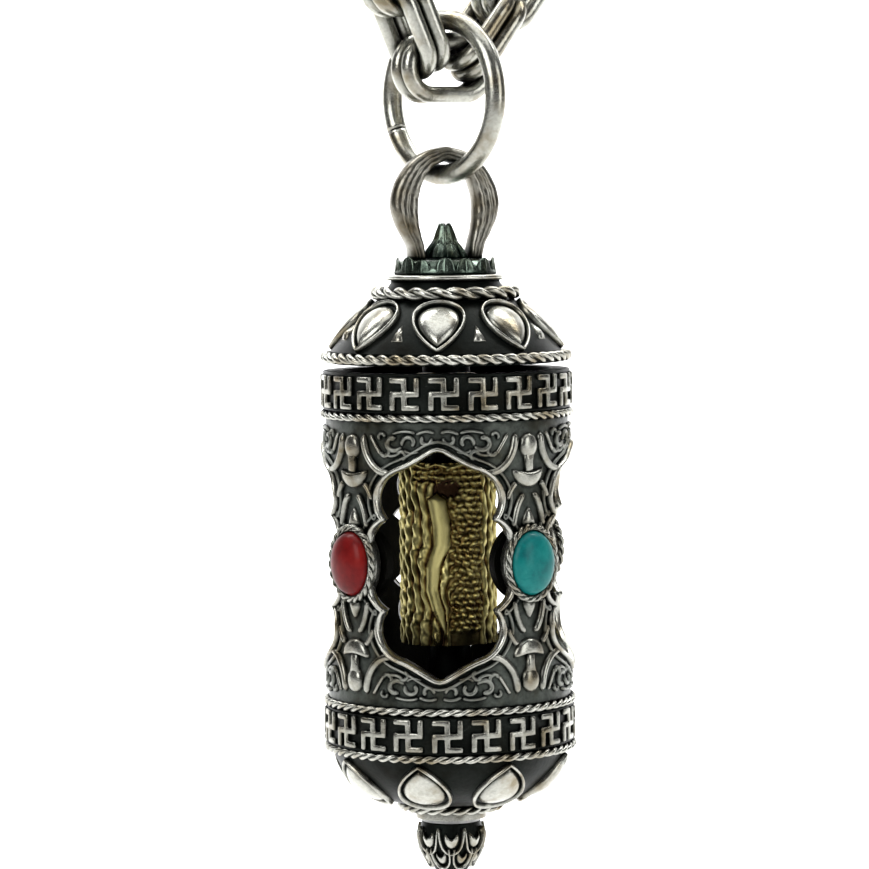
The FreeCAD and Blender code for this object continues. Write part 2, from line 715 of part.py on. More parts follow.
def ornament_outlines():
    """The raised figure above a gem: a bulb and stem on a crescent, two leaves and four strokes."""
    bulb = oval(0.78, 0.9, -5.1)
    stem = polyline([(-0.42, 0, -5.5), (0.42, 0, -5.5), (0.36, 0, -6.95), (-0.36, 0, -6.95)])
    ears = Part.Arc(Vector(-1.35, 0, -6.75), Vector(0, 0, -8.05), Vector(1.35, 0, -6.75)).toShape()
    lid = Part.LineSegment(Vector(1.35, 0, -6.75), Vector(-1.35, 0, -6.75)).toShape()
    crescent = Part.Face(Part.Wire([ears, lid]))
    figure = bulb.fuse([stem, crescent]).removeSplitter()
    leaf = polyline([(-0.6, 0, -10.7), (0.6, 0, -10.7), (0.3, 0, -9.8), (0, 0, -9.35),
                     (-0.3, 0, -9.8)])
    right = [
        stroke((0.4, -8.5), (1.75, -10.75), 0.5),
        stroke((1.15, -7.7), (1.95, -8.8), 0.45),
        stroke((1.25, -4.4), (1.6, -5.7), 0.5),
        stroke((1.95, -6.3), (3.1, -6.9), 0.5),
    ]
    left = [mirrored(face) for face in right]
    return [figure, leaf] + right + left


def spandrel_outlines():
    """Cloud scrolls in the field between a window's head and the ornament beside it."""
    right = [
        hook((3.3, -5.75), 0.7, 0.28, 190, 190),
        hook((2.3, -5.0), 0.5, 0.24, 10, 190),
        hook((1.1, -4.5), 0.5, 0.22, 170, 200),
    ]
    left = [mirrored(face) for face in right]
    return right + left


def pressed(outlines, layer):
    """Each flat outline, carried outward and kept only within the layer."""
    return [prism(face).common(layer) for face in outlines]


def ornaments():
    count = size("window_count")
    angle = size("gem_angle")
    layer = waist_layer(size("ornament_relief"))
    upper = ornament_outlines()
    lower = [turned_over(face) for face in upper]
    keep_clear = prism(window_outline(size("frame_width") + size("lip_gap") + size("lip_width")
                                      + size("ornament_gap")))
    fields = Part.makeCompound(around(keep_clear, count, -angle))
    bezel = bezel_post(FIT)
    figures = []
    for label, outlines in (("upper_ornaments", upper), ("lower_ornaments", lower)):
        raised = [shape.cut(fields).cut(bezel) for shape in pressed(outlines, layer)]
        figure = solids_of(around(solids_of(raised), count, angle))
        feature(label, figure, "barrel_yaw")
        figures.append(figure)
    scrolls = spandrel_outlines()
    scrolls = scrolls + [turned_over(face) for face in scrolls]
    relief = waist_layer(size("scroll_relief"))
    group = solids_of([shape.cut(keep_clear).cut(figures) for shape in pressed(scrolls, relief)])
    feature("spandrel_scrolls", solids_of(around(group, count)), "barrel_yaw")


def barrel_insides():
    turned_piece("upper_plate", ring_profile("bush_radius", "barrel_bore", "plate_low", "plate_high"))
    turned_piece("upper_bush", [
        ("bush_bore", "plate_low"), ("bush_radius", "plate_low"), ("bush_radius", "plate_high"),
        ("bush_flange", "plate_high"), ("bush_flange", "upper_bush_high"),
        ("bush_bore", "upper_bush_high"),
    ])
    turned_piece("floor_plate",
                 ring_profile("bush_radius", "barrel_bore", "floor_plate_low", "floor_plate_high"))
    turned_piece("core_tube",
                 ring_profile("core_tube_bore", "bush_radius", "floor_plate_low", "plate_low"))
    turned_piece("gilt_sleeve",
                 ring_profile("sleeve_bore", "sleeve_radius", "sleeve_low", "sleeve_high"))
    turned_piece("mantra_scroll", ring_profile(
        "bush_radius", "scroll_radius", "sleeve_low + sleeve_inset + sleeve_disc",
        "sleeve_high - sleeve_inset - sleeve_disc"))
    turned_piece("sleeve_top_disc", ring_profile(
        "bush_radius", "sleeve_bore", "sleeve_high - sleeve_inset - sleeve_disc",
        "sleeve_high - sleeve_inset"))
    turned_piece("sleeve_bottom_disc", ring_profile(
        "bush_radius", "sleeve_bore", "sleeve_low + sleeve_inset",
        "sleeve_low + sleeve_inset + sleeve_disc"))


def base():
    turned_piece("base_dome", [
        ("bush_radius", "base_floor"), ("base_floor_radius", "base_floor", "base_bend", 1),
        ("base_edge", "shell_bottom"), ("base_spigot", "shell_bottom"),
        ("base_spigot", "base_spigot_high"), ("base_spigot_inner", "base_spigot_high"),
        ("base_spigot_inner", "shell_bottom - base_inner_lip", "base_inner_bend", 1),
        ("base_inner_floor_radius", "base_inner_floor"), ("bush_radius", "base_inner_floor"),
    ])
    turned_piece("lower_bush", [
        ("bush_bore", "base_flange_low"), ("bush_radius", "base_flange_low"),
        ("bush_radius", "base_inner_floor"), ("bush_flange", "base_inner_floor"),
        ("bush_flange", "lower_bush_high"), ("bush_bore", "lower_bush_high"),
    ])
    turned_piece("base_flange", [
        ("bush_radius", "base_floor"), ("base_neck", "base_floor"), ("base_neck", "base_neck_low"),
        ("base_flange", "base_neck_low"), ("base_flange", "base_flange_low"),
        ("bush_radius", "base_flange_low"),
    ])
    rope("base_rope", "base_rope_radius", "base_rope_wire", "base_rope_height")
    count = size("petal_count")
    relief = size("petal_relief")
    half_step = 180.0 / count
    outline = teardrop(size("base_petal_half_width"), size("base_petal_widest"),
                       size("base_petal_bottom"), size("base_petal_point"))
    boss = shrunk(outline, size("petal_boss_inset"))
    wires = prism(outline).cut(prism(shrunk(outline, size("base_petal_wire"))))
    bosses = around(prism(boss).common(base_layer(relief)), count, half_step)
    crests = around(wires.common(base_layer(relief + size("base_wire_extra"))), count, half_step)
    feature("base_petals", solids_of(bosses), "base_petal_yaw")
    feature("base_petal_wires", solids_of(crests), "base_petal_yaw")


def finial():
    profile = [
        ("axle_radius", "washer_low"), ("finial_neck", "washer_low"),
        ("finial_shoulder", "finial_shoulder_low"), ("finial_waist", "finial_waist_low"),
        ("finial_tip", "finial_tip_low"), ("0", "finial_bottom"), ("0", "axle_low"),
        ("axle_radius", "axle_low"),
    ]
    turned_piece("finial_bud", profile)
    shoulder = (size("finial_shoulder"), size("finial_shoulder_low"))
    waist = (size("finial_waist"), size("finial_waist_low"))
    relief = size("finial_relief")
    skin = revolved([shoulder, (shoulder[0] + relief, shoulder[1]), (waist[0] + relief, waist[1]),
                     waist])
    petal = oval(size("finial_petal_half_width"), size("finial_petal_half_height"),
                 size("finial_petal_centre"))
    band = Part.makeBox(2 * shoulder[0], TOOL_REACH, size("finial_petal_length"),
                        Vector(-shoulder[0], -TOOL_REACH, size("finial_waist_low + finial_petal_low")))
    drops = prism(petal).common(skin).common(band)
    feature("finial_petals", solids_of(around(drops, size("petal_count"))), "cap_yaw")


chain()
jump_ring()
bail()
cap()
crown()
axle()
barrel_shell()
barrel_bands()
window_frames()
gems()
ornaments()
barrel_insides()
base()
finial()

document.recompute()
for item in document.Objects:
    if "Invalid" in item.State or "Error" in item.State:
        raise RuntimeError(f"{item.Label} did not build: {item.State}")
for item in pieces:
    if item.Shape.isNull() or not item.Shape.isValid() or not item.Shape.Solids:
        raise RuntimeError(f"{item.Label} has no valid solid")

os.makedirs("parts", exist_ok=True)
for item in pieces:
    item.Shape.exportStep(f"parts/{item.Label}.step")
    box = item.Shape.BoundBox
    print(f"{item.Label:24s} solids {len(item.Shape.Solids):3d} volume {item.Shape.Volume:9.3f} "
          f"z {box.ZMin:7.2f} to {box.ZMax:7.2f}")
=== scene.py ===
import json
import math

import bmesh
import bpy
import numpy as np
from mathutils import Matrix, Vector
from mathutils.bvhtree import BVHTree


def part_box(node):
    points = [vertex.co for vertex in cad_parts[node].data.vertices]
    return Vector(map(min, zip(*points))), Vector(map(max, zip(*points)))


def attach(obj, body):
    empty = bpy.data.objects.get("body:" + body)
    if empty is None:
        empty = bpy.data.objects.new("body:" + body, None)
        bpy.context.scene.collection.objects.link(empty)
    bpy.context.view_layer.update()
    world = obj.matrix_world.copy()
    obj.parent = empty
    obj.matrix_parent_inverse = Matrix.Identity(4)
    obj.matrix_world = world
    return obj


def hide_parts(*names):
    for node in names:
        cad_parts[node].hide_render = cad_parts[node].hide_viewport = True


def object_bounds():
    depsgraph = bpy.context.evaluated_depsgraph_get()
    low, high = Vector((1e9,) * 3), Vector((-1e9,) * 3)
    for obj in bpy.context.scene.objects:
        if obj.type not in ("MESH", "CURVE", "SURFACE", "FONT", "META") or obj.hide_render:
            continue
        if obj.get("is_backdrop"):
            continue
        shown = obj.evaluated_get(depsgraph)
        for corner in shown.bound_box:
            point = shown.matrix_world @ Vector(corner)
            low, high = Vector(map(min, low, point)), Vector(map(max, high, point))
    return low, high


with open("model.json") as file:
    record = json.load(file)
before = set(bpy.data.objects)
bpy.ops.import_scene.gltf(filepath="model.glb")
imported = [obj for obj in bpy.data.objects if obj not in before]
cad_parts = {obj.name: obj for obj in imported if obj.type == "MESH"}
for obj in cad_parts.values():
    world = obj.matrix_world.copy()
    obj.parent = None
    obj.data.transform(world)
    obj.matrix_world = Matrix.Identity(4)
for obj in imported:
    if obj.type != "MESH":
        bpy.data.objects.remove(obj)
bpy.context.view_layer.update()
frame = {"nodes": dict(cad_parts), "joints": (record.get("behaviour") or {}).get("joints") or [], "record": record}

# TWIST is how far a strand sits from the middle of a twisted wire, as a share of the wire's radius.
# Shapes are worked out in millimetres, with heights counted from the barrel's top rim.
MM = 0.001
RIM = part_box("barrel_shell")[1].z
TWIST = 0.48
YAW = math.radians(-4.4)
BAND_YAW = math.radians(-1.3)
BASE_YAW = math.radians(7)
BAIL_YAW = math.radians(22)
WINDOWS = 4
PETALS = 8
rng = np.random.default_rng(7)


def low(node):
    return (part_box(node)[0].z - RIM) / MM


def high(node):
    return (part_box(node)[1].z - RIM) / MM


def middle(node):
    return (low(node) + high(node)) / 2


def half_width(node):
    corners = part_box(node)
    return (corners[1].x - corners[0].x) / 2 / MM


# ---- mesh helpers

def full_turn(count):
    """Evenly spaced angles round a circle, without the closing one."""
    return np.linspace(0, 2 * math.pi, count, endpoint=False)


def make(name, vertices, faces, material, body, replaces):
    """A mesh piece from millimetre vertices in the rim frame."""
    points = np.asarray(vertices, float) * MM
    points[:, 2] += RIM
    mesh = bpy.data.meshes.new(name)
    mesh.from_pydata(points.tolist(), [], faces)
    mesh.validate()
    work = bmesh.new()
    work.from_mesh(mesh)
    bmesh.ops.recalc_face_normals(work, faces=work.faces)
    work.to_mesh(mesh)
    work.free()
    mesh.polygons.foreach_set("use_smooth", [True] * len(mesh.polygons))
    piece = bpy.data.objects.new(name, mesh)
    bpy.context.scene.collection.objects.link(piece)
    mesh.materials.append(material)
    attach(piece, body)
    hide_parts(*replaces)


class Build:
    """Collects several closed shapes into one mesh."""

    def __init__(self):
        self.vertices = []
        self.faces = []

    def add(self, vertices, faces):
        start = len(self.vertices)
        self.vertices.extend(np.asarray(vertices, float).tolist())
        self.faces.extend([[index + start for index in face] for face in faces])

    def piece(self, name, material, body, replaces, slot="oxidised_silver"):
        make(name, self.vertices, self.faces, material, body, replaces)


def turn(points, angle):
    """Turn points about the axle."""
    points = np.asarray(points, float)
    cosine = math.cos(angle)
    sine = math.sin(angle)
    turned = points.copy()
    turned[:, 0] = points[:, 0] * cosine - points[:, 1] * sine
    turned[:, 1] = points[:, 0] * sine + points[:, 1] * cosine
    return turned


def unit(vectors):
    vectors = np.asarray(vectors, float)
    return vectors / np.maximum(np.linalg.norm(vectors, axis=-1, keepdims=True), 1e-12)


def quads(rings, around, closed):
    """Faces between rings of points; closed joins the last ring to the first."""
    faces = []
    for ring in range(rings if closed else rings - 1):
        following = (ring + 1) % rings
        for corner in range(around):
            beside = (corner + 1) % around
            faces.append([ring * around + corner, ring * around + beside,
                          following * around + beside, following * around + corner])
    return faces


def capped(rings, around):
    """Faces of an open run of rings with a flat face at each end."""
    faces = quads(rings, around, False)
    faces.append(list(range(around)))
    faces.append([(rings - 1) * around + corner for corner in range(around)])
    return faces


def sweep(path, normals, section, closed=True, across=None, raised=None):
    """Carry a closed section along a path. Section columns are (across the path, along the normal)."""
    path = np.asarray(path, float)
    count = len(path)
    if closed:
        tangents = np.roll(path, -1, axis=0) - np.roll(path, 1, axis=0)
    else:
        tangents = np.gradient(path, axis=0)
    tangents = unit(tangents)
    sides = unit(np.cross(tangents, normals))
    normals = np.cross(sides, tangents)
    section = np.asarray(section, float)
    across = np.ones(count) if across is None else np.asarray(across, float)
    raised = np.ones(count) if raised is None else np.asarray(raised, float)
    rings = (path[:, None, :]
             + section[None, :, 0, None] * across[:, None, None] * sides[:, None, :]
             + section[None, :, 1, None] * raised[:, None, None] * normals[:, None, :])
    around = len(section)
    faces = quads(count, around, True) if closed else capped(count, around)
    return rings.reshape(-1, 3), faces


def circle_section(radius, corners):
    angles = full_turn(corners)
    return np.column_stack([np.cos(angles) * radius, np.sin(angles) * radius])


def dome_section(half_width_mm, height, sunk=0.15, corners=9):
    """Half-round on top, with a foot sunk below the surface."""
    angles = np.linspace(0, math.pi, corners)
    arch = np.column_stack([np.cos(angles) * half_width_mm, np.sin(angles) * height])
    foot = np.array([[-half_width_mm, -sunk], [half_width_mm, -sunk]])
    return np.vstack([arch, foot])


def pillow(outline, centre, place, relief, rings=7, power=2.0, sunk=0.15, dent=None):
    """A raised cushion on a surface: rings shrink from the outline to its centre as they rise."""
    outline = np.asarray(outline, float)
    centre = np.asarray(centre, float)
    count = len(outline)
    levels = [(1.0, -sunk)]
    for ring in range(rings):
        share = 1 - ring / rings
        lift = relief * max(0.0, 1 - share ** power) ** (1 / power)
        if dent:
            lift += dent(share)
        levels.append((share, lift))
    points = []
    for share, lift in levels:
        flat = centre + (outline - centre) * share
        points.extend(place(flat[:, 0], flat[:, 1], lift))
    top_lift = relief + (dent(0.0) if dent else 0.0)
    points.extend(place(centre[:1], centre[1:], top_lift))
    points.extend(place(centre[:1], centre[1:], -sunk))
    faces = quads(len(levels), count, False)
    top = len(levels) * count
    last = (len(levels) - 1) * count
    for corner in range(count):
        beside = (corner + 1) % count
        faces.append([last + corner, last + beside, top])
        faces.append([beside, corner, top + 1])
    return np.array(points), faces


def turned_points(profile, segments):
    vertices = []
    for index in range(segments):
        angle = 2 * math.pi * index / segments
        for radius, height in profile:
            vertices.append((radius * math.sin(angle), -radius * math.cos(angle), height))
    return vertices


def lathe(profile, segments):
    """Turn a closed (radius, height) profile that stays off the axis."""
    profile = np.asarray(profile, float)
    return turned_points(profile, segments), quads(segments, len(profile), True)


def spun(profile, segments):
    """A turned solid whose profile runs from the axis to the axis."""
    profile = np.asarray(profile, float)
    inner = profile[1:-1]
    count = len(inner)
    vertices = turned_points(inner, segments)
    faces = []
    for index in range(segments):
        following = (index + 1) % segments
        for corner in range(count - 1):
            faces.append([index * count + corner, index * count + corner + 1,
                          following * count + corner + 1, following * count + corner])
    top = len(vertices)
    vertices.append((0, 0, profile[0][1]))
    vertices.append((0, 0, profile[-1][1]))
    for index in range(segments):
        following = (index + 1) % segments
        faces.append([top, index * count, following * count])
        faces.append([top + 1, following * count + count - 1, index * count + count - 1])
    return vertices, faces


# ---- surfaces read from the frame

def surface_of(node, lowest, highest, gap=(0.0, 0.0)):
    """Outer radius of a turned CAD node as a function of height, found by casting rays at it."""
    mesh = frame["nodes"][node].data
    tree = BVHTree.FromPolygons([vertex.co for vertex in mesh.vertices],
                                [polygon.vertices for polygon in mesh.polygons])
    heights = []
    radii = []
    for height in np.linspace(lowest, highest, 25):
        if gap[0] < height < gap[1]:
            continue
        reach = 0.0
        for angle in full_turn(48):
            outward = Vector((math.sin(angle), -math.cos(angle), 0))
            start = outward * 0.02 + Vector((0, 0, RIM + height * MM))
            hit = tree.ray_cast(start, -outward)[0]
            if hit is not None:
                reach = max(reach, math.hypot(hit.x, hit.y) / MM)
        heights.append(height)
        radii.append(reach)
    fit = np.polynomial.Polynomial.fit(heights, radii, 4)
    return fit, fit.deriv()


def placer(surface, angle):
    """Flat (across, height) points with a lift, laid on a turned surface about a facing angle."""
    radius_at, slope_at = surface

    def place(across, heights, lift):
        across = np.atleast_1d(np.asarray(across, float))
        heights = np.atleast_1d(np.asarray(heights, float))
        radius = radius_at(heights)
        slope = slope_at(heights)
        length = np.sqrt(1 + slope ** 2)
        out = lift / length
        rise = -slope * lift / length
        facing = np.arcsin(np.clip(across / radius, -0.999, 0.999)) + angle
        reach = radius + out
        return np.column_stack([reach * np.sin(facing), -reach * np.cos(facing), heights + rise])

    return place


def normals_on(place, across, heights):
    return unit(place(across, heights, 0.5) - place(across, heights, 0.0))


def lay(build, place, line, section, lift=0.0, **shape):
    """Sweep a section along a flat line laid on a surface."""
    across = line[:, 0]
    heights = line[:, 1]
    path = place(across, heights, lift)
    build.add(*sweep(path, normals_on(place, across, heights), section, **shape))


waist_high = low("upper_band_rope") - 0.1
waist_low = high("lower_band_rope_top") + 0.1
WINDOW_MIDDLE = middle("window_frames")
waist = surface_of("barrel_shell", waist_low, waist_high,
                   (WINDOW_MIDDLE - 3.2, WINDOW_MIDDLE + 3.2))
cap_side = surface_of("cap_dome", low("cap_dome") + 1.0, high("cap_dome") - 0.1)
base_side = surface_of("base_dome", low("base_dome") + 0.12, high("base_dome") - 0.8)


# ---- materials

def node_material(name):
    material = bpy.data.materials.new(name)
    material.use_nodes = True
    nodes = material.node_tree.nodes
    nodes.clear()
    output = nodes.new("ShaderNodeOutputMaterial")
    shader = nodes.new("ShaderNodeBsdfPrincipled")
    material.node_tree.links.new(shader.outputs["BSDF"], output.inputs["Surface"])
    return material, shader


def link(material, source, target):
    material.node_tree.links.new(source, target)


def noise(material, scale, detail=4.0, roughness=0.6):
    nodes = material.node_tree.nodes
    position = nodes.new("ShaderNodeTexCoord")
    texture = nodes.new("ShaderNodeTexNoise")
    texture.inputs["Scale"].default_value = scale
    texture.inputs["Detail"].default_value = detail
    texture.inputs["Roughness"].default_value = roughness
    link(material, position.outputs["Object"], texture.inputs["Vector"])
    return texture.outputs["Fac"]


def ramp(material, value, stops):
    node = material.node_tree.nodes.new("ShaderNodeValToRGB")
    elements = node.color_ramp.elements
    while len(elements) < len(stops):
        elements.new(0.5)
    for element, (position, colour) in zip(elements, stops):
        element.position = position
        element.color = (*colour, 1)
    link(material, value, node.inputs["Fac"])
    return node.outputs["Color"]


def grey(value):
    return (value, value, value)


def maths(material, operation, first, second, clamp=False):
    node = material.node_tree.nodes.new("ShaderNodeMath")
    node.operation = operation
    node.use_clamp = clamp
    for socket, value in zip(node.inputs, (first, second)):
        if isinstance(value, (int, float)):
            socket.default_value = value
        else:
            link(material, value, socket)
    return node.outputs["Value"]


def plus(material, first, second):
    return maths(material, "ADD", first, second)


def times(material, first, second, clamp=False):
    return maths(material, "MULTIPLY", first, second, clamp)


def mottled_openness(material, openness, stain, amount):
    """Openness pushed up and down by a stain."""
    return plus(material, openness, times(material, maths(material, "SUBTRACT", stain, 0.5), amount))


def mix_colour(material, factor, first, second):
    node = material.node_tree.nodes.new("ShaderNodeMix")
    node.data_type = "RGBA"
    for index, value in ((0, factor), (6, first), (7, second)):
        socket = node.inputs[index]
        if isinstance(value, (int, float)):
            socket.default_value = value
        elif isinstance(value, tuple):
            socket.default_value = (*value, 1)
        else:
            link(material, value, socket)
    return node.outputs[2]


def position_parts(material):
    """X, Y and Z in the part's own frame, in metres."""
    nodes = material.node_tree.nodes
    position = nodes.new("ShaderNodeTexCoord")
    split = nodes.new("ShaderNodeSeparateXYZ")
    link(material, position.outputs["Object"], split.inputs["Vector"])
    return split.outputs


def axis_height(material):
    return position_parts(material)["Z"]


def axis_distance(material):
    """Distance from the axle, in metres."""
    parts = position_parts(material)
    across = maths(material, "POWER", parts["X"], 2.0)
    along = maths(material, "POWER", parts["Y"], 2.0)
    return maths(material, "SQRT", plus(material, across, along), 0)


def blotch(material, scale, low_edge, high_edge):
    """0 to 1 in soft patches."""
    return ramp(material, noise(material, scale, 3), [(low_edge, grey(0)), (high_edge, grey(1))])


def cavity(material, distance):
    """1 in the open, falling to 0 in hollows narrower than the distance."""
    node = material.node_tree.nodes.new("ShaderNodeAmbientOcclusion")
    node.samples = 8
    node.inputs["Distance"].default_value = distance
    return node.outputs["AO"]


def bump(material, shader, height, strength, distance):
    node = material.node_tree.nodes.new("ShaderNodeBump")
    node.inputs["Strength"].default_value = strength
    node.inputs["Distance"].default_value = distance
    link(material, height, node.inputs["Height"])
    link(material, node.outputs["Normal"], shader.inputs["Normal"])


def oxidised(name, bright, dark, reach=0.0006, start=0.35, end=0.85, polish=0.3, tarnish=0.35,
             black_within=0.0):
    """White metal, black in its hollows and rubbed bright on what stands proud.

    Anything nearer the axle than black_within is painted near black, as painted shade on the inside.
    """
    material, shader = node_material(name)
    openness = cavity(material, reach)
    stain = noise(material, 900, 5)
    grain = noise(material, 5200, 3)
    shifted = mottled_openness(material, openness, stain, tarnish)
    worn = ramp(material, shifted, [(start, grey(0)), (end, grey(1))])
    mottled = ramp(material, grain, [(0.3, tuple(c * 0.72 for c in bright)), (0.7, bright)])
    warm = tuple(c * f for c, f in zip(bright, (0.42, 0.36, 0.27)))
    aged = mix_colour(material, blotch(material, 380, 0.46, 0.66), mottled, warm)
    colour = mix_colour(material, worn, dark, aged)
    # Painted shade: everything nearer the axle than the given radius is coloured near black.
    if black_within:
        outside = maths(material, "GREATER_THAN", axis_distance(material), black_within)
        colour = mix_colour(material, outside, (0.004, 0.004, 0.003), colour)
    link(material, colour, shader.inputs["Base Color"])
    dull = plus(material, times(material, worn, -0.5), times(material, stain, 0.5))
    rough = ramp(material, dull, [(0.0, grey(polish)), (0.4, grey(0.62))])
    link(material, rough, shader.inputs["Roughness"])
    shader.inputs["Metallic"].default_value = 0.95
    bump(material, shader, plus(material, grain, stain), 0.35, 0.00004)
    return material


def stone(name, main, deep, light):
    material, shader = node_material(name)
    cloud = noise(material, 420, 6, 0.7)
    colour = ramp(material, cloud, [(0.28, deep), (0.5, main), (0.78, light)])
    link(material, colour, shader.inputs["Base Color"])
    shader.inputs["Roughness"].default_value = 0.42
    shader.inputs["Specular IOR Level"].default_value = 0.12
    shader.inputs["Coat Weight"].default_value = 0.1
    shader.inputs["Coat Roughness"].default_value = 0.10
    bump(material, shader, noise(material, 2600, 3), 0.12, 0.00003)
    return material


def gilding(name):
    material, shader = node_material(name)
    # Painted shade: the gilt is darkened to near black in its hollows through ambient occlusion.
    openness = cavity(material, 0.0007)
    stain = noise(material, 700, 5)
    shifted = mottled_openness(material, openness, stain, 0.6)
    gilt = ramp(material, shifted, [(0.34, (0.006, 0.004, 0.002)), (0.56, (0.11, 0.050, 0.012)),
                                    (0.78, (0.27, 0.21, 0.055)), (1.0, (0.54, 0.48, 0.20))])
    # Painted shadow: the gilt goes near black towards the sleeve's lower end, which sits in shadow.
    height = plus(material, axis_height(material), times(material, stain, 0.004))
    low_end = RIM + (low("gilt_sleeve") + 1.0) * MM
    low_painted_shadow = times(material, maths(material, "SUBTRACT", height, low_end), 350, clamp=True)
    gilt_with_low_shadow = mix_colour(material, low_painted_shadow, (0.008, 0.006, 0.003), gilt)
    # Painted shade: the relief's low parts, nearer the axle, go dark brown and only the crests keep the gilt
    # colour.
    hollow = (half_width("gilt_sleeve") - 0.47) * MM
    proud = maths(material, "SUBTRACT", axis_distance(material), hollow)
    crest = times(material, plus(material, proud, times(material, stain, 0.0001)), 3800, clamp=True)
    colour = mix_colour(material, crest, (0.022, 0.009, 0.003), gilt_with_low_shadow)
    link(material, colour, shader.inputs["Base Color"])
    rough = ramp(material, stain, [(0.3, grey(0.25)), (0.7, grey(0.5))])
    link(material, rough, shader.inputs["Roughness"])
    shader.inputs["Metallic"].default_value = 0.9
    bump(material, shader, noise(material, 3500, 4), 0.4, 0.00005)
    return material


def plain_metal(name, colour, roughness):
    material, shader = node_material(name)
    scratches = noise(material, 3000, 3)
    link(material, ramp(material, scratches, [(0.3, tuple(c * 0.75 for c in colour)), (0.7, colour)]),
         shader.inputs["Base Color"])
    link(material, ramp(material, scratches, [(0.2, grey(roughness)), (0.8, grey(roughness + 0.2))]),
         shader.inputs["Roughness"])
    shader.inputs["Metallic"].default_value = 1.0
    return material


def paper():
    material, shader = node_material("rolled_paper")
    fibre = noise(material, 2500, 6, 0.8)
    link(material, ramp(material, fibre, [(0.3, (0.45, 0.38, 0.25)), (0.7, (0.72, 0.64, 0.46))]),
         shader.inputs["Base Color"])
    shader.inputs["Roughness"].default_value = 0.9
    bump(material, shader, fibre, 0.3, 0.00005)
    return material


SILVER = (0.60, 0.60, 0.54)
BLACK = (0.008, 0.012, 0.009)
raised_silver = oxidised("raised_silver", SILVER, BLACK, 0.0007, 0.42, 0.98, 0.27, 0.6)
column_silver = oxidised("column_silver", (0.43, 0.43, 0.38), BLACK, 0.0011, 0.44, 1.0, 0.27,
                         0.7)
# The barrel shell is painted near black within 8.2 mm of the axle: painted shade for its inside.
ground_silver = oxidised("ground_silver", (0.085, 0.095, 0.083), (0.003, 0.005, 0.004), 0.0013, 0.56,
                         1.15, 0.4, 1.0, 0.0082)
black_ground = oxidised("black_ground", (0.012, 0.014, 0.012), (0.003, 0.005, 0.004), 0.0012, 0.45,
                        1.05, 0.45, 0.6)
bright_silver = oxidised("bright_silver", (0.54, 0.54, 0.48), (0.02, 0.022, 0.016), 0.0014, 0.3,
                         0.95, 0.26, 0.6)
aged_silver = oxidised("aged_silver", (0.30, 0.29, 0.25), (0.012, 0.014, 0.009), 0.0010, 0.4, 0.95,
                       0.28, 0.8)
crown_silver = oxidised("crown_patina", (0.19, 0.245, 0.20), (0.003, 0.009, 0.006), 0.0010, 0.62,
                        1.1, 0.24, 1.0)
gold = gilding("gilt_emboss")
ground_lip = oxidised("lip_silver", (0.27, 0.28, 0.25), BLACK, 0.0008, 0.42, 0.98, 0.36, 0.7)
coral = stone("coral_stone", (0.15, 0.004, 0.004), (0.055, 0.001, 0.001), (0.24, 0.012, 0.009))
turquoise = stone("turquoise_stone", (0.003, 0.16, 0.155), (0.002, 0.08, 0.085), (0.02, 0.26, 0.23))
steel = plain_metal("turned_steel", (0.36, 0.36, 0.35), 0.35)
bush_brass = plain_metal("bush_brass", (0.45, 0.34, 0.13), 0.3)
scroll_paper = paper()


def finish_cad(node, material):
    """Give a CAD node that is kept as it is its material."""
    mesh = frame["nodes"][node].data
    mesh.materials.clear()
    mesh.materials.append(material)


# ---- ropes

def rope(node, body, strands_seen, lean):
    """A ring of two wires twisted together; lean is +1 or -1 for the way the twist slopes."""
    wire = (high(node) - low(node)) / 2
    ring = half_width(node) - wire
    centre = middle(node)
    twists = strands_seen // 2
    steps = twists * 12
    angles = full_turn(steps)
    build = Build()
    for strand in range(2):
        phase = lean * twists * angles + strand * math.pi
        offset = wire * TWIST
        radius = ring + np.cos(phase) * offset
        path = np.column_stack([radius * np.sin(angles), -radius * np.cos(angles),
                                centre + np.sin(phase) * offset])
        normals = np.column_stack([np.sin(angles), -np.cos(angles), np.zeros(steps)])
        build.add(*sweep(path, normals, circle_section(wire * 0.53, 10)))
    build.piece(node + "_twist", raised_silver, body, (node,))


for node, body, strands, lean in (
        ("cap_upper_rope", "hanger", 22, -1), ("cap_lower_rope", "hanger", 52, -1),
        ("upper_band_rope", "barrel", 60, -1), ("lower_band_rope_top", "barrel", 60, 1),
        ("lower_band_rope_bottom", "barrel", 60, 1), ("base_rope", "barrel", 24, 1)):
    rope(node, body, strands, lean)


# ---- bands of signs

SIGNS = 20
SIGN_WIDTH = 2.2
SIGN_HEIGHT = 2.3
STROKE = 0.4


def sign_bars():
    """(left, low, right, high) of the six bars of an upright left-turning sign."""
    half_x = SIGN_WIDTH / 2
    half_z = SIGN_HEIGHT / 2
    bar = STROKE
    return [
        (-half_x, half_z - bar, bar / 2, half_z),
        (half_x - bar, -bar / 2, half_x, half_z),
        (-bar / 2, -half_z, half_x, -half_z + bar),
        (-half_x, -half_z, -half_x + bar, bar / 2),
        (-bar / 2, -half_z, bar / 2, half_z),
        (-half_x, -bar / 2, half_x, bar / 2),
    ]


def sign_cells():
    """The same sign as a grid of cells, so that the bars join without inner faces."""
    bars = sign_bars()
    across = sorted({round(value, 5) for bar in bars for value in (bar[0], bar[2])})
    along = sorted({round(value, 5) for bar in bars for value in (bar[1], bar[3])})
    cells = set()
    for column in range(len(across) - 1):
        for row in range(len(along) - 1):
            x = (across[column] + across[column + 1]) / 2
            z = (along[row] + along[row + 1]) / 2
            if any(left < x < right and bottom < z < top for left, bottom, right, top in bars):
                cells.add((column, row))
    return across, along, cells


def apply_modifiers(piece):
    bpy.context.view_layer.update()
    graph = bpy.context.evaluated_depsgraph_get()
    mesh = bpy.data.meshes.new_from_object(piece.evaluated_get(graph))
    piece.modifiers.clear()
    piece.data = mesh


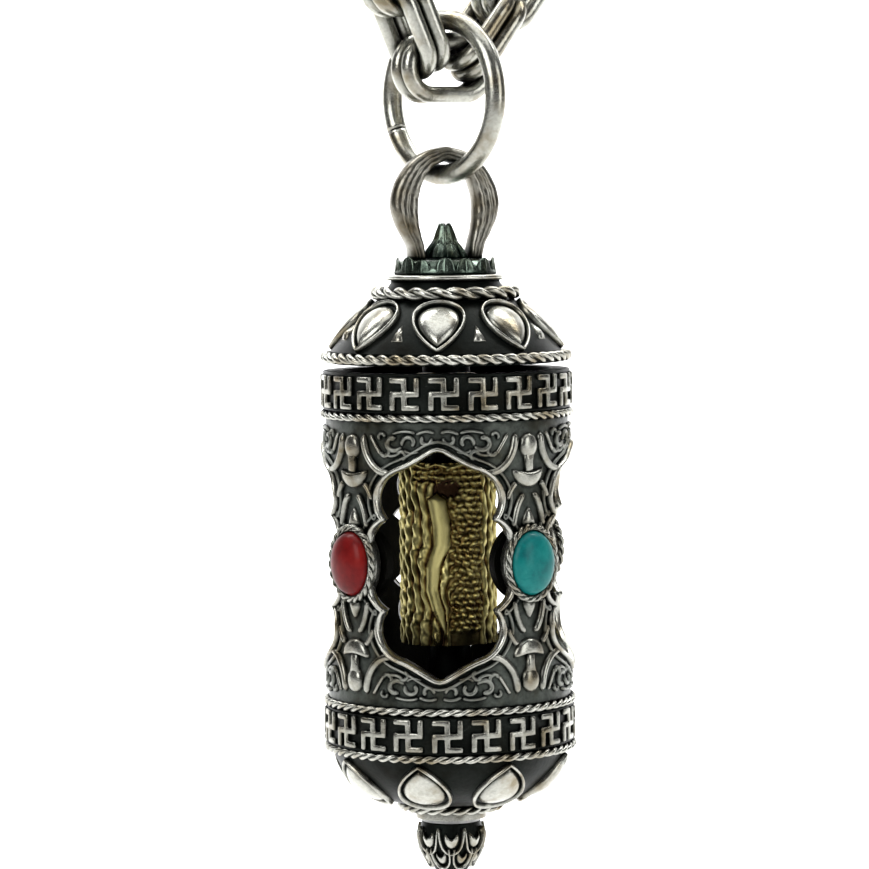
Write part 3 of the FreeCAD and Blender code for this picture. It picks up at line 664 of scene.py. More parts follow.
def add_sign(work, angle, face, ground, centre):
    """One sign as a closed block, standing from the ground to the face of its band."""
    across, along, cells = sign_cells()
    wobble = rng.normal(0, 0.02, 2)
    grid = {}

    def vertex(column, row, lift):
        key = (column, row, lift)
        if key not in grid:
            turned = (across[column] + wobble[0]) / face + angle
            radius = ground - 0.1 if lift == 0 else face
            height = centre + along[row] + wobble[1]
            grid[key] = work.verts.new((radius * math.sin(turned) * MM,
                                        -radius * math.cos(turned) * MM,
                                        RIM + height * MM))
        return grid[key]

    for column, row in cells:
        corners = [(column, row), (column + 1, row), (column + 1, row + 1), (column, row + 1)]
        work.faces.new([vertex(x, z, 1) for x, z in corners])
        work.faces.new([vertex(x, z, 0) for x, z in reversed(corners)])
        for side, (step_x, step_z) in enumerate([(0, -1), (1, 0), (0, 1), (-1, 0)]):
            if (column + step_x, row + step_z) in cells:
                continue
            first = corners[side]
            second = corners[(side + 1) % 4]
            work.faces.new([vertex(*first, 0), vertex(*second, 0),
                            vertex(*second, 1), vertex(*first, 1)])


def signs(name, face, ground, centre):
    """Twenty signs round a band, with softened edges."""
    work = bmesh.new()
    for index in range(SIGNS):
        add_sign(work, BAND_YAW + 2 * math.pi * index / SIGNS, face, ground, centre)
    bmesh.ops.recalc_face_normals(work, faces=work.faces)
    mesh = bpy.data.meshes.new(name)
    work.to_mesh(mesh)
    work.free()
    mesh.materials.append(column_silver)
    piece = bpy.data.objects.new(name, mesh)
    bpy.context.scene.collection.objects.link(piece)
    bevel = piece.modifiers.new("soft_edges", "BEVEL")
    bevel.width = 0.11 * MM
    bevel.segments = 2
    bevel.limit_method = "ANGLE"
    bevel.angle_limit = math.radians(50)
    apply_modifiers(piece)
    piece.data.polygons.foreach_set("use_smooth", [True] * len(piece.data.polygons))
    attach(piece, "barrel")


def fret_band(node, name):
    """A dark band with a fine raised edge, and its signs."""
    face = half_width(node)
    ground = face - 0.27
    seat = ground - 0.25
    bottom = low(node)
    top = high(node)
    ring = [(seat, bottom), (ground, bottom), (ground + 0.1, bottom + 0.08), (ground, bottom + 0.2),
            (ground, top - 0.2), (ground + 0.1, top - 0.08), (ground, top), (seat, top)]
    build = Build()
    build.add(*lathe(ring, 160))
    build.piece(name + "_strip", black_ground, "barrel", (node,))
    signs(name + "_signs", face, ground, (bottom + top) / 2)


fret_band("upper_fret_band", "upper_band")
fret_band("lower_fret_band", "lower_band")


# ---- petals on the cap and base

def teardrop(half, rounded_end, point, count=40):
    """A petal outline: full and round near rounded_end, drawn to a tip at point."""
    outline = []
    for index in range(count):
        around = 2 * math.pi * index / count
        share = (1 - math.cos(around)) / 2
        width = half * math.sin(around) * (1 - share) ** 0.42 * 1.12
        outline.append((width, rounded_end + (point - rounded_end) * share))
    return np.array(outline)


def petal_ring(surface, name, angles, outline, body, replaces, relief, boss_relief):
    bosses = Build()
    wires = Build()
    centre = outline.mean(axis=0)
    inner = centre + (outline - centre) * 0.88
    for angle in angles:
        place = placer(surface, angle)

        def crease(share):
            return -0.05 * math.exp(-((share - 0.86) / 0.07) ** 2)

        bosses.add(*pillow(inner, centre, place, boss_relief, rings=9, power=2.4, dent=crease))
        lay(wires, place, outline, dome_section(0.14, relief, 0.2), lift=0.05)
    bosses.piece(name + "_bosses", raised_silver, body, replaces[:1])
    wires.piece(name + "_wires", raised_silver, body, replaces[1:2])


def leaf_tips(surface, name, angles, outline, body, replaces):
    build = Build()
    centre = outline.mean(axis=0)
    for angle in angles:
        build.add(*pillow(outline, centre, placer(surface, angle), 0.3, rings=5, power=1.3))
    build.piece(name, raised_silver, body, replaces)


petal_step = 2 * math.pi / PETALS
cap_angles = [YAW + petal_step * index for index in range(PETALS)]
gap_angles = [angle + petal_step / 2 for angle in cap_angles]
cap_petal = teardrop(1.95, high("cap_petal_wires") - 0.1, low("cap_petal_wires") - 0.12)
petal_ring(cap_side, "cap_petal", cap_angles, cap_petal, "hanger",
           ("cap_petals", "cap_petal_wires"), 0.34, 0.5)
tip_foot = low("cap_leaf_tips")
tip_waist = tip_foot + 0.5
tip_outline = np.array([(-0.46, tip_foot), (0.46, tip_foot), (0.26, tip_waist),
                        (0, high("cap_leaf_tips")), (-0.26, tip_waist)])
leaf_tips(cap_side, "cap_leaf_tip", gap_angles, tip_outline, "hanger", ("cap_leaf_tips",))
base_angles = [BASE_YAW + petal_step * (index + 0.5) for index in range(PETALS)]
base_petal = teardrop(2.0, low("base_petal_wires") + 0.05, high("base_petal_wires") - 0.05)
petal_ring(base_side, "base_petal", base_angles, base_petal, "barrel",
           ("base_petals", "base_petal_wires"), 0.32, 0.48)


# ---- window frames

def arc_through(start, bend, end, count):
    """Points on the circle through three flat points, without the last."""
    ax, az = start
    bx, bz = bend
    cx, cz = end
    twice = 2 * (ax * (bz - cz) + bx * (cz - az) + cx * (az - bz))
    ux = ((ax * ax + az * az) * (bz - cz) + (bx * bx + bz * bz) * (cz - az)
          + (cx * cx + cz * cz) * (az - bz)) / twice
    uz = ((ax * ax + az * az) * (cx - bx) + (bx * bx + bz * bz) * (ax - cx)
          + (cx * cx + cz * cz) * (bx - ax)) / twice
    radius = math.hypot(ax - ux, az - uz)
    first = math.atan2(az - uz, ax - ux)
    mid = math.atan2(bz - uz, bx - ux)
    last = math.atan2(cz - uz, cx - ux)

    def ahead(angle):
        return (angle - first) % (2 * math.pi)

    span = ahead(last)
    if ahead(mid) > span:
        span -= 2 * math.pi
    return [(ux + radius * math.cos(first + span * step / count),
             uz + radius * math.sin(first + span * step / count)) for step in range(count)]


def window_quarter():
    """From the apex to the level of the stones, on the right: ogee, shoulder, cusp and side."""
    points = arc_through((0, 8.1), (1.2, 7.3), (2.5, 6.6), 8)
    points += arc_through((2.5, 6.6), (3.65, 5.95), (4.15, 4.9), 8)
    points += arc_through((4.15, 4.9), (4.1, 4.0), (3.65, 3.15), 8)
    points += arc_through((3.65, 3.15), (4.35, 2.6), (4.75, 1.7), 8)
    points += [(4.75, 1.7), (4.75, 0.85), (4.75, 0.0)]
    return points


def window_loop():
    quarter = window_quarter()
    right_low = [(x, -z) for x, z in reversed(quarter[:-1])]
    left_low = [(-x, z) for x, z in reversed(right_low[:-1])]
    left_high = [(-x, z) for x, z in reversed(quarter[1:-1])]
    return np.array(quarter + right_low + left_low + left_high)


def grown(loop, distance):
    """Move a loop outward by a distance, rounding its cusps a little."""
    tangent = unit(np.roll(loop, -1, axis=0) - np.roll(loop, 1, axis=0))
    outward = np.column_stack([-tangent[:, 1], tangent[:, 0]])
    sign = np.sign(np.sum(outward * loop, axis=1).mean())
    moved = loop + outward * sign * distance
    for _ in range(2):
        moved = (np.roll(moved, 1, axis=0) + 2 * moved + np.roll(moved, -1, axis=0)) / 4
    return moved


def frames():
    loop = window_loop()
    wires = Build()
    lips = Build()
    for index in range(WINDOWS):
        place = placer(waist, YAW + math.pi / 2 * index)
        for build, distance, width, relief in ((wires, 0.2, 0.2, 0.42), (lips, 0.76, 0.15, 0.24)):
            line = grown(loop, distance) + np.array([0, WINDOW_MIDDLE])
            wear = 1 + 0.08 * np.sin(np.arange(len(line)) * 0.9)
            lay(build, place, line, dome_section(width, relief, 0.25), raised=wear)
    wires.piece("window_frame_wires", raised_silver, "barrel", ("window_frames",))
    lips.piece("window_frame_lip_wires", ground_lip, "barrel", ("window_frame_lips",))


frames()


# ---- stones in their bezels

def ellipse(half_x, half_z, count=48):
    angles = full_turn(count)
    return np.column_stack([np.cos(angles) * half_x, np.sin(angles) * half_z])


GEM_ANGLE = math.pi / 4
GIRDLE = 9.0
GEM_RISE = 0.9
GEM_X = 1.9
GEM_Z = (high("turquoise_cabochons") - low("turquoise_cabochons")) / 2


def post_placer(angle, base):
    """Flat points about a stone's centre, standing at a distance from the axle."""
    def place(across, heights, lift):
        across = np.atleast_1d(np.asarray(across, float))
        heights = np.atleast_1d(np.asarray(heights, float))
        points = np.column_stack([across, np.full(len(across), -(base + lift)), heights])
        return turn(points, angle)

    return place


def stones():
    builds = {"turquoise": Build(), "coral": Build()}
    cups = Build()
    outline = ellipse(GEM_X, GEM_Z) + np.array([0, WINDOW_MIDDLE])
    centre = np.array([0, WINDOW_MIDDLE])
    for index in range(WINDOWS):
        angle = YAW + GEM_ANGLE + math.pi / 2 * index
        kind = "turquoise" if index % 2 == 0 else "coral"
        place = post_placer(angle, GIRDLE)
        builds[kind].add(*pillow(outline, centre, place, GEM_RISE, rings=12, power=2.1, sunk=0.8))
        wall = ellipse(GEM_X + 0.14, GEM_Z + 0.14) + centre
        path = place(wall[:, 0], wall[:, 1], 0.0)
        facing = unit(turn(np.tile([0.0, -1.0, 0.0], (len(wall), 1)), angle))
        cups.add(*sweep(path, facing, [(-0.1, -0.95), (0.1, -0.95), (0.1, 0.1), (-0.1, 0.1)]))
        cups.add(*bezel_rope(angle))
    builds["turquoise"].piece("turquoise_stones", turquoise, "barrel", ("turquoise_cabochons",),
                              "turquoise")
    builds["coral"].piece("coral_stones", coral, "barrel", ("coral_cabochons",), "coral")
    cups.piece("bezel_ropes", column_silver, "barrel", ("cabochon_bezels",))


def bezel_rope(angle):
    """A twisted wire round an oval cup."""
    twists = 11
    steps = twists * 12
    around = full_turn(steps)
    wire = 0.28
    build = Build()
    for strand in range(2):
        phase = twists * around + strand * math.pi
        half_x = GEM_X + 0.26 + np.cos(phase) * wire * TWIST
        half_z = GEM_Z + 0.26 + np.cos(phase) * wire * TWIST
        depth = GIRDLE - 0.08 + np.sin(phase) * wire * TWIST
        path = np.column_stack([np.cos(around) * half_x, -depth,
                                np.sin(around) * half_z + WINDOW_MIDDLE])
        facing = np.tile([0.0, -1.0, 0.0], (steps, 1))
        vertices, faces = sweep(turn(path, angle), turn(facing, angle),
                                circle_section(wire * 0.55, 8))
        build.add(vertices, faces)
    return build.vertices, build.faces


stones()


# ---- raised ornaments

FIGURE_TOP = high("upper_ornaments")
CLOUD_TOP = high("spandrel_scrolls")


def stroke_line(points, count=18):
    """A smooth open line through a few flat points."""
    points = np.asarray(points, float)
    knots = np.linspace(0, 1, len(points))
    fine = np.linspace(0, 1, count)
    degree = min(3, len(points) - 1)
    fit_x = np.polyfit(knots, points[:, 0], degree)
    fit_z = np.polyfit(knots, points[:, 1], degree)
    return np.column_stack([np.polyval(fit_x, fine), np.polyval(fit_z, fine)])


def swell(count, blunt_start, blunt_end):
    """Width along a stroke: rounded or drawn out at each end."""
    share = np.linspace(0, 1, count)
    start = np.clip(share / blunt_start, 0, 1)
    end = np.clip((1 - share) / blunt_end, 0, 1)
    return np.sqrt(np.clip(1 - (1 - start) ** 2, 0.0025, 1)) * np.sqrt(
        np.clip(1 - (1 - end) ** 2, 0.0025, 1))


def add_line(build, place, line, width, relief, start, end):
    """A raised half-round line laid on a surface."""
    profile = swell(len(line), start, end)
    lay(build, place, line, dome_section(width / 2, relief, 0.2), closed=False, across=profile,
        raised=profile)


def add_stroke(build, place, points, width, relief):
    add_line(build, place, stroke_line(points), width, relief, 0.12, 0.12)


def flip(points, sign_x, turned_over, top):
    """Hang points from a height, mirrored sideways or about the window's middle."""
    points = np.asarray(points, float).copy()
    points[:, 0] *= sign_x
    points[:, 1] += top
    if turned_over:
        points[:, 1] = 2 * WINDOW_MIDDLE - points[:, 1]
    return points


def add_cushion(build, place, outline, middle_height, relief, power, over):
    shape = flip(outline, 1, over, FIGURE_TOP)
    centre = flip([(0, middle_height)], 1, over, FIGURE_TOP)[0]
    build.add(*pillow(shape, centre, place, relief, power=power))


def figure(build, place, over):
    """Bulb, stem and crescent above a stone, with its leaf, strokes and side leaves."""
    angles = full_turn(28)
    bulb = np.column_stack([0.80 * np.cos(angles), -0.95 + 0.92 * np.sin(angles)])
    add_cushion(build, place, bulb, -0.95, 0.42, 2.2, over)
    stem = [(-0.5, -1.25), (0.5, -1.25), (0.34, -2.05), (0.36, -2.85), (-0.36, -2.85), (-0.34, -2.05)]
    add_cushion(build, place, stem, -2.05, 0.34, 2.6, over)
    bowl = np.linspace(0, math.pi, 19)
    crescent = [(1.42 * math.cos(a), -2.57 - 1.33 * math.sin(a)) for a in bowl]
    crescent += [(-0.7, -2.71), (0, -2.77), (0.7, -2.71)]
    add_cushion(build, place, crescent, -3.05, 0.40, 2.4, over)
    leaf = [(-0.62, -6.55), (0, -6.7), (0.62, -6.55), (0.55, -6.05), (0.3, -5.55), (0, -5.2),
            (-0.3, -5.55), (-0.55, -6.05)]
    add_cushion(build, place, leaf, -6.15, 0.34, 1.8, over)
    for side in (1, -1):
        for points, width, relief in (
                ([(0.42, -4.25), (0.95, -5.05), (1.2, -5.85), (1.35, -6.65)], 0.48, 0.34),
                ([(1.1, -3.5), (1.5, -3.95), (1.85, -4.65)], 0.46, 0.32),
                ([(1.15, 0), (1.35, -1.15), (1.75, -2.15), (2.6, -2.6), (3.3, -2.7)], 0.6, 0.32),
                ([(1.75, -0.05), (2.15, -0.75), (2.6, -1.45)], 0.3, 0.2)):
            add_stroke(build, place, flip(points, side, over, FIGURE_TOP), width, relief)


def spiral(centre, radius, start, sweep_angle, shrink):
    """A curl that tightens as it turns; angles in degrees."""
    count = 22
    turns = np.radians(start + sweep_angle * np.linspace(0, 1, count))
    sizes = radius * (1 - shrink * np.linspace(0, 1, count))
    return np.column_stack([centre[0] + sizes * np.cos(turns), centre[1] + sizes * np.sin(turns)])


CLOUDS = (
    ((3.1, -0.37), 0.62, 200, 290, 0.55, 0.42), ((1.95, -0.37), 0.55, 330, 270, 0.6, 0.36),
    ((0.85, -0.12), 0.46, 160, 260, 0.6, 0.34), ((2.5, -1.32), 0.42, 20, 250, 0.6, 0.34),
    ((3.75, -1.02), 0.42, 120, 250, 0.6, 0.34), ((3.85, 0.08), 0.3, 300, 260, 0.6, 0.26),
)


def spandrel(build, place, over):
    """Cloud scrolls over a window's head."""
    for side in (1, -1):
        for centre, radius, start, turned, shrink, width in CLOUDS:
            line = spiral(centre, radius, start, turned, shrink)
            add_line(build, place, flip(line, side, over, CLOUD_TOP), width, 0.24, 0.2, 0.1)
        for points, width in (([(2.5, -0.92), (3.1, -1.27), (3.7, -1.12)], 0.3),
                              ([(0.2, 0.28), (0.8, 0.43), (1.5, 0.18)], 0.28),
                              ([(1.5, 0.28), (2.3, 0.43), (3.2, 0.23)], 0.26),
                              ([(1.25, -0.97), (1.9, -1.07), (2.3, -0.82)], 0.22)):
            add_stroke(build, place, flip(points, side, over, CLOUD_TOP), width, 0.24)


def ornaments():
    for over, name, node in ((False, "upper_figures", "upper_ornaments"),
                             (True, "lower_figures", "lower_ornaments")):
        build = Build()
        for index in range(WINDOWS):
            figure(build, placer(waist, YAW + GEM_ANGLE + math.pi / 2 * index), over)
        build.piece(name, column_silver, "barrel", (node,))
    build = Build()
    for index in range(WINDOWS):
        for over in (False, True):
            spandrel(build, placer(waist, YAW + math.pi / 2 * index), over)
    build.piece("cloud_scrolls", ground_lip, "barrel", ("spandrel_scrolls",))


ornaments()


# ---- the gilt sleeve

def falloff(values, edge, width):
    """1 above an edge, falling smoothly to 0 below it."""
    share = np.clip((values - edge) / width + 0.5, 0, 1)
    return share * share * (3 - 2 * share)


def grains(across, level, bottom, top):
    """Rows of lumps like tight curls, set unevenly."""
    relief = np.zeros_like(across)
    row = 0
    height = bottom + 1.2
    while height < top:
        first = 0.55 if height < top - 1.6 else -2.6
        start = first + 0.28 * (row % 2)
        for column in np.arange(start, 3.2, 0.56):
            x = column + rng.normal(0, 0.07)
            z = height + rng.normal(0, 0.06)
            lean = rng.uniform(-0.7, 0.7)
            size = rng.uniform(0.8, 1.2)
            away_x = (across - x) + lean * (level - z)
            away_z = (level - z) * 1.35
            reach = (away_x ** 2 + away_z ** 2) / (0.06 * size)
            relief = np.maximum(relief, 0.34 * size * np.exp(-reach * 0.9))
        height += 0.47
        row += 1
    return relief


def sleeve_relief(across, level, bottom, top):
    """Folds at the left, a smooth falling sash, curls at the right and a hollow under the rim."""
    share = (level - bottom) / (top - bottom)
    centre = np.interp(share, [0.08, 0.19, 0.30, 0.43, 0.55, 0.65, 0.80],
                       [0.0, -0.5, -1.0, -0.9, -0.2, -0.2, -0.6])
    half = np.interp(share, [0.05, 0.12, 0.19, 0.30, 0.43, 0.55, 0.65, 0.80, 0.84],
                     [0.03, 0.32, 0.55, 0.60, 0.66, 0.72, 0.80, 0.80, 0.03])
    inside = np.clip(1 - ((across - centre) / half) ** 2, 0, 1)
    sash = 0.40 * np.sqrt(inside)
    sway = 0.22 * np.sin(level * 1.1 + across) + 0.10 * np.sin(level * 2.7)
    ridges = np.abs(np.cos((across + sway) * math.pi / 0.85)) ** 0.7
    folds = 0.34 * ridges - 0.04 + 0.05 * np.sin(level * 6 + across * 5)
    curls = grains(across, level, bottom, top)
    right = falloff(across, 0.35, 0.3) * (1 - falloff(across, 3.1, 0.3))
    crest = falloff(level, top - 1.5, 0.3) * falloff(across, -2.6, 0.3) * (1 - falloff(across, 3.1, 0.3))
    curly = np.maximum(right, crest)
    hollow = np.exp(-((across - 0.1) / 1.15) ** 4 - ((level - top + 1.9) / 0.5) ** 2)
    relief = np.where(inside > 0, sash, folds * (1 - curly) + curls * curly)
    rim = 0.30 * np.exp(-((level - top + 0.22 + 0.10 * np.sin(across * 3.1)) / 0.16) ** 2)
    return np.clip(np.maximum(relief, rim) - 0.6 * hollow, -0.12, 0.45)


def sleeve():
    """The embossed gilding, shaped over a thin tube; the same figure faces front and back."""
    outer = half_width("gilt_sleeve")
    bottom = low("gilt_sleeve")
    top = high("gilt_sleeve")
    columns = 440
    rows = 200
    angles = full_turn(columns)
    heights = np.linspace(bottom, top, rows)
    facing, level = np.meshgrid(angles, heights)
    local = ((facing - YAW + math.pi / 2) % math.pi) - math.pi / 2
    radius = outer - 0.45 + sleeve_relief(local * outer, level, bottom, top)
    outside = np.column_stack([(radius * np.sin(facing)).ravel(), (-radius * np.cos(facing)).ravel(),
                               level.ravel()])
    bore = outer - 0.6
    inner_facing, inner_level = np.meshgrid(angles, np.array([top, bottom]))
    inside = np.column_stack([(bore * np.sin(inner_facing)).ravel(),
                              (-bore * np.cos(inner_facing)).ravel(), inner_level.ravel()])
    points = np.vstack([outside, inside])
    make("gilt_embossed_sleeve", points, quads(rows + 2, columns, True), gold, "barrel",
         ("gilt_sleeve",))


sleeve()


# ---- crown, bail, ring and chain

def crown():
    """A low wall of blunt leaves, with pointed leaves stepping in to the bud."""
    bottom = low("crown_collar")
    top = high("crown_collar")
    reach = half_width("crown_collar")
    build = Build()
    build.add(*lathe([(0.8, bottom), (reach - 0.3, bottom), (reach - 0.22, bottom + 0.2),
                      (reach - 0.42, bottom + 0.45), (reach - 0.5, top - 0.35),
                      (reach - 0.9, top - 0.3), (0.8, top - 0.1)], 128))
    for index in range(14):
        crown_leaf(build, 2 * math.pi * (index + rng.uniform(-0.12, 0.12)) / 14, reach - 0.42,
                   bottom + 0.05, top + rng.uniform(-0.3, 0.0), 0.72, 0.0)
    build.piece("crown_wall", crown_silver, "hanger", ("crown_collar",), "dark_patina")
    bud = Build()
    foot = low("crown_bud") - 0.15
    tip = high("crown_bud")
    wide = half_width("crown_bud")
    bud.add(*spun([(0, tip - 0.3), (0.25, tip - 0.4), (0.75, tip - 1.1), (wide * 0.8, foot + 0.4),
                   (wide * 0.85, foot), (0, foot)], 48))
    for distance, count, height, half, lean, offset in ((wide * 0.95, 8, 0.42, 0.42, 0.35, 0.5),
                                                        (wide * 0.80, 6, 0.70, 0.50, 0.62, 0.1),
                                                        (wide * 0.62, 5, 0.97, 0.56, 0.62, 0.6)):
        for index in range(count):
            angle = 2 * math.pi * (index + offset + rng.uniform(-0.08, 0.08)) / count
            reach_up = foot + (tip - foot) * height
            crown_leaf(bud, angle, distance, foot, reach_up, half, distance * lean)
    bud.piece("crown_bud_leaves", crown_silver, "hanger", ("crown_bud",), "dark_patina")


def crown_leaf(build, angle, distance, foot, tip, half, lean):
    """One upright pointed leaf with a ridge, leaning in toward the axle at its tip."""
    count = 12
    share = np.linspace(0, 1, count)
    path = np.column_stack([np.zeros(count), -(distance - lean * share ** 1.3),
                            foot + (tip - foot) * share])
    outward = np.tile([0.0, -1.0, 0.1], (count, 1))
    width = half * np.sqrt(np.clip(1 - share ** 2.6, 0.01, 1)) + 0.03
    section = [(-1.0, -0.2), (1.0, -0.2), (0.95, 0.02), (0.72, 0.12), (0.35, 0.04), (0.12, 0.2),
               (-0.12, 0.2), (-0.35, 0.04), (-0.72, 0.12), (-0.95, 0.02)]
    vertices, faces = sweep(path, outward, section, closed=False, across=width,
                            raised=np.clip(1.15 - share, 0.3, 1))
    build.add(turn(vertices, angle), faces)


def bail_edge(points, count):
    """A smooth run through a few outline points, evenly spread along its length."""
    points = np.asarray(points, float)
    knots = np.concatenate([[0], np.cumsum(np.linalg.norm(np.diff(points, axis=0), axis=1))])
    fine = np.linspace(0, knots[-1], count)
    line = np.column_stack([np.interp(fine, knots, points[:, 0]), np.interp(fine, knots, points[:, 1])])
    for _ in range(3):
        line[1:-1] = (line[:-2] + 2 * line[1:-1] + line[2:]) / 4
    return line


def bail():
    """A horseshoe strap: its outer edge rounded and worn, three grooves along each leg."""
    foot = low("bail") - 0.25
    top = high("bail")
    outer = [(0, top), (1.4, top - 0.25), (2.75, top - 1.1), (3.75, top - 2.5), (4.15, top - 3.9),
             (3.95, top - 5.1), (3.4, top - 6.2), (2.85, top - 7.0), (2.7, foot)]
    inner = [(0, top - 1.08), (0.95, top - 1.4), (1.7, top - 2.3), (2.05, top - 3.4),
             (2.15, top - 4.3), (2.1, top - 5.6), (1.85, top - 6.6), (1.7, top - 7.2), (1.65, foot)]
    half = 34
    right_outer = bail_edge(outer, half)
    right_inner = bail_edge(inner, half)
    mirror = np.array([-1, 1])
    outside = np.vstack([(right_outer * mirror)[::-1][:-1], right_outer])
    inside = np.vstack([(right_inner * mirror)[::-1][:-1], right_inner])
    section = [(0.0, 0.35), (0.08, 0.72), (0.22, 0.86), (0.36, 0.84), (0.42, 0.74), (0.48, 0.84),
               (0.58, 0.86), (0.63, 0.75), (0.69, 0.83), (0.80, 0.80), (0.93, 0.62), (1.0, 0.3)]
    section += [(across, -depth) for across, depth in reversed(section)]
    vertices = []
    steps = len(outside)
    for index in range(steps):
        wear = 1 + 0.05 * math.sin(index * 1.7) + 0.04 * math.sin(index * 0.6 + 1)
        for across, depth in section:
            flat = inside[index] + (outside[index] - inside[index]) * across
            vertices.append((flat[0], depth * wear * 0.94, flat[1]))
    build = Build()
    build.add(turn(vertices, BAIL_YAW), capped(steps, len(section)))
    build.piece("bail_loop", aged_silver, "hanger", ("bail",), "bright_silver")


def flange():
    """A thin bright disc over a dark neck that widens down to the rope."""
    top = high("cap_flange")
    bottom = low("cap_flange")
    rim = half_width("cap_flange")
    disc = Build()
    disc.add(*lathe([(1.0, top - 0.45), (rim - 0.35, top - 0.4), (rim - 0.2, top - 0.34),
                     (rim - 0.12, top - 0.2), (rim - 0.2, top - 0.06), (rim - 0.4, top),
                     (1.0, top)], 128))
    disc.piece("flange_disc", raised_silver, "hanger", ("cap_flange",))
    neck = Build()
    neck.add(*lathe([(1.0, bottom), (rim - 0.05, bottom), (rim - 0.05, bottom + 0.55),
                     (rim - 0.5, top - 0.6), (rim - 0.55, top - 0.38), (1.0, top - 0.38)], 128))
    neck.piece("flange_neck", black_ground, "hanger", ("cap_flange",))


def wire_ring():
    joint = [entry for entry in frame["joints"] if entry["name"] == "bail_swing"][0]
    along = Vector(joint["axis"])
    centre = middle("jump_ring")
    wire = 0.75
    ring = (high("jump_ring") - low("jump_ring")) / 2 - wire
    steps = 160
    gap = math.radians(1.0)
    angles = np.linspace(gap, 2 * math.pi - gap, steps) + math.radians(205)
    flat = np.array([along.x, along.y, 0.0])
    path = (np.outer(np.cos(angles), flat) * ring
            + np.outer(np.sin(angles), [0, 0, 1]) * ring + np.array([0, 0, centre]))
    normals = unit(path - np.array([0, 0, centre]))
    section = circle_section(wire, 20)
    section *= (1 - 0.035 * np.abs(np.sin(2 * full_turn(20))))[:, None]
    build = Build()
    build.add(*sweep(path, normals, section, closed=False))
    build.piece("jump_ring_wire", bright_silver, "jump_ring", ("jump_ring",), "bright_silver")


def links():
    """The CAD links keep their shape; each gets worn metal."""
    for node in frame["record"]["behaviour"]["bodies"]["chain"]:
        finish_cad(node, bright_silver)


crown()
flange()
bail()
wire_ring()
links()


# ---- finial

def finial_curve(height):
    """Radius of the lotus bud at a height."""
    top = high("finial_bud")
    return float(np.interp(top - height, [0.0, 0.35, 0.9, 1.6, 2.4, 3.1, 3.6, 4.1, 4.6],
                           [2.2, 2.3, 2.42, 2.3, 1.9, 1.5, 1.3, 0.9, 0.45]))


def finial():
    """A lotus bud hanging upside down: two rows of rimmed petals over a dark core."""
    top = high("finial_bud")
    bottom = low("finial_bud")
    heights = np.linspace(top - 0.12, bottom + 0.15, 16)
    profile = [(0.0, top), (2.1, top)]
    profile += [(finial_curve(height) - 0.12, height) for height in heights]
    profile.append((0.0, bottom))
    core = Build()
    core.add(*spun(profile, 96))
    core.piece("finial_core", black_ground, "hanger", ("finial_bud",))
    radii = [finial_curve(height) - 0.12 for height in heights]
    fit = np.polynomial.Polynomial.fit(heights, radii, 5)
    surface = (fit, fit.deriv())
    petals = Build()
    turns = np.linspace(0, math.pi, 21)
    for drop, half, length, shift in ((0.35, 0.82, 1.75, 0.1), (1.75, 0.62, 1.45, 0.6)):
        crown_height = top - drop
        line = np.column_stack([half * np.cos(turns), crown_height - length * np.sin(turns) ** 0.8])
        moon = np.linspace(0.12 * math.pi, 0.88 * math.pi, 15)
        under = np.column_stack([half * 0.76 * np.cos(moon),
                                 crown_height - length * 0.84 * np.sin(moon) ** 0.8])
        over = np.column_stack([half * 0.6 * np.cos(moon[::-1]),
                                crown_height - length * 0.42 * np.sin(moon[::-1])])
        outline = np.vstack([under, over])
        for index in range(PETALS):
            place = placer(surface, petal_step * (index + shift) + YAW)
            lay(petals, place, line, dome_section(0.11, 0.34, 0.15), closed=False)
            petals.add(*pillow(outline, outline.mean(axis=0), place, 0.26, rings=6, power=2.2))
    petals.piece("finial_lotus", raised_silver, "hanger", ("finial_petals",))


finial()


# ---- CAD nodes kept as they are

for node, material in (
        ("barrel_shell", ground_silver), ("cap_dome", black_ground),
        ("base_dome", black_ground), ("base_flange", bright_silver), ("axle_rod", steel),
        ("axle_nut", steel), ("axle_stop", black_ground), ("lower_washer", steel),
        ("upper_plate", black_ground), ("floor_plate", black_ground),
        ("core_tube", black_ground), ("upper_bush", bush_brass), ("lower_bush", bush_brass),
        ("mantra_scroll", scroll_paper), ("sleeve_top_disc", gold),
        ("sleeve_bottom_disc", gold)):
    finish_cad(node, material)


# ---- floor, light and camera

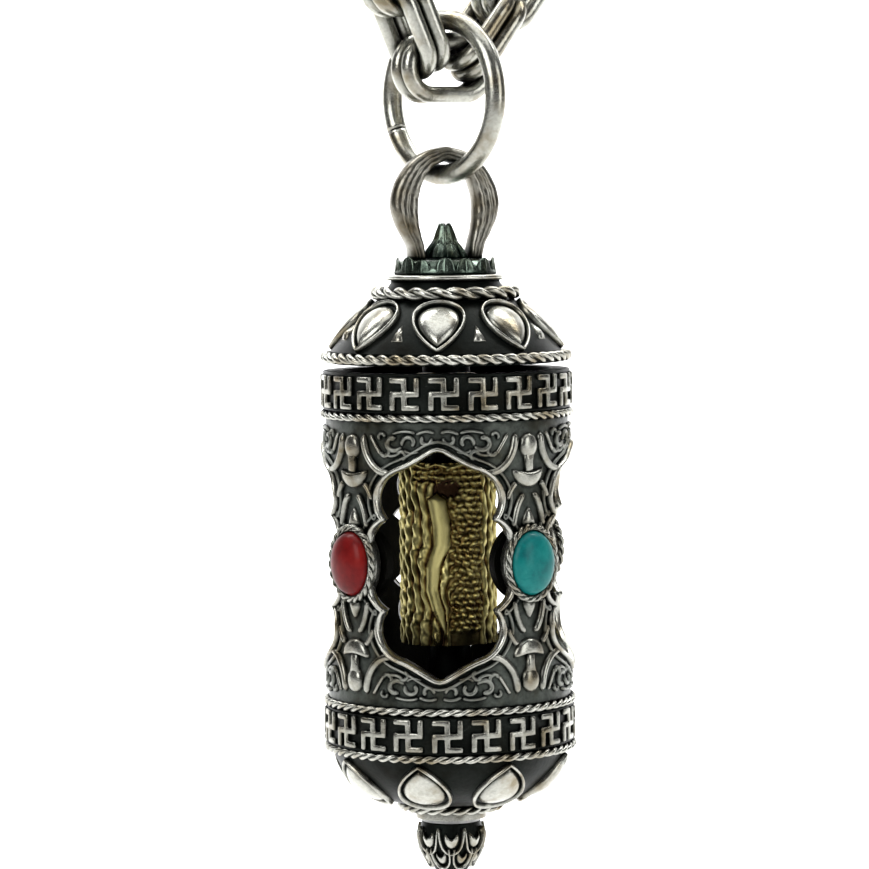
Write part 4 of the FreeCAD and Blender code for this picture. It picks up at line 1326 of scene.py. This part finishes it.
def backdrop():
    floor_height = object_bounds()[0][2] - 0.03
    profile = [(-1.2, 0.0), (0.5, 0.0)]
    profile += [(0.5 + 0.4 * math.sin(a), 0.4 - 0.4 * math.cos(a))
                for a in np.radians(np.linspace(10, 90, 9))]
    profile.append((0.9, 1.8))
    vertices = []
    for x in (-1.8, 1.8):
        vertices.extend([(x, y, floor_height + z) for y, z in profile])
    count = len(profile)
    faces = [[index, index + 1, count + index + 1, count + index] for index in range(count - 1)]
    mesh = bpy.data.meshes.new("studio_cove")
    mesh.from_pydata(vertices, [], faces)
    mesh.polygons.foreach_set("use_smooth", [True] * len(mesh.polygons))
    cove = bpy.data.objects.new("studio_cove", mesh)
    bpy.context.scene.collection.objects.link(cove)
    material, shader = node_material("cove_white")
    shader.inputs["Base Color"].default_value = (0.93, 0.93, 0.93, 1)
    shader.inputs["Roughness"].default_value = 0.9
    mesh.materials.append(material)
    cove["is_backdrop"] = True


def softbox(name, place, target, size, power):
    data = bpy.data.lights.new(name, "AREA")
    data.shape = "RECTANGLE"
    data.size, data.size_y = size
    data.energy = power
    light = bpy.data.objects.new(name, data)
    light.location = place
    light.rotation_euler = (Vector(target) - Vector(place)).to_track_quat("-Z", "Y").to_euler()
    bpy.context.scene.collection.objects.link(light)


def studio():
    backdrop()
    target = (0, 0, -0.035)
    softbox("key_left", (-0.35, -0.45, 0.25), target, (0.3, 0.4), 1.75)
    softbox("key_right", (0.45, -0.35, 0.1), target, (0.25, 0.5), 1.15)
    softbox("top", (0, -0.05, 0.5), target, (0.5, 0.4), 1.1)
    softbox("cove_wash", (0, 0.25, 0.6), (0, 0.9, 0.1), (1.2, 0.4), 22.0)
    world = bpy.data.worlds.new("studio")
    world.use_nodes = True
    world.node_tree.nodes["Background"].inputs["Color"].default_value = (0.9, 0.92, 0.95, 1)
    world.node_tree.nodes["Background"].inputs["Strength"].default_value = 0.05
    bpy.context.scene.world = world
    bpy.context.scene.view_settings.view_transform = "Standard"


def camera():
    """Level with the bail, looking slightly down, from the pendant's front."""
    distance = 0.275
    eye = Vector((0, -distance, RIM + 0.012))
    pitch = math.radians(3.47)
    pan = math.radians(0.185)
    roll = math.radians(-0.64)
    forward = Vector((-math.sin(pan), math.cos(pan), -math.tan(pitch))).normalized()
    turned = forward.to_track_quat("-Z", "Y").to_matrix() @ Matrix.Rotation(roll, 3, "Z")
    data = bpy.data.cameras.new("camera")
    data.sensor_width = 36
    data.lens = 160
    data.clip_start = 0.01
    data.clip_end = 20
    viewer = bpy.data.objects.new("camera", data)
    viewer.location = eye
    viewer.rotation_euler = turned.to_euler()
    bpy.context.scene.collection.objects.link(viewer)
    bpy.context.scene.camera = viewer


studio()
camera()
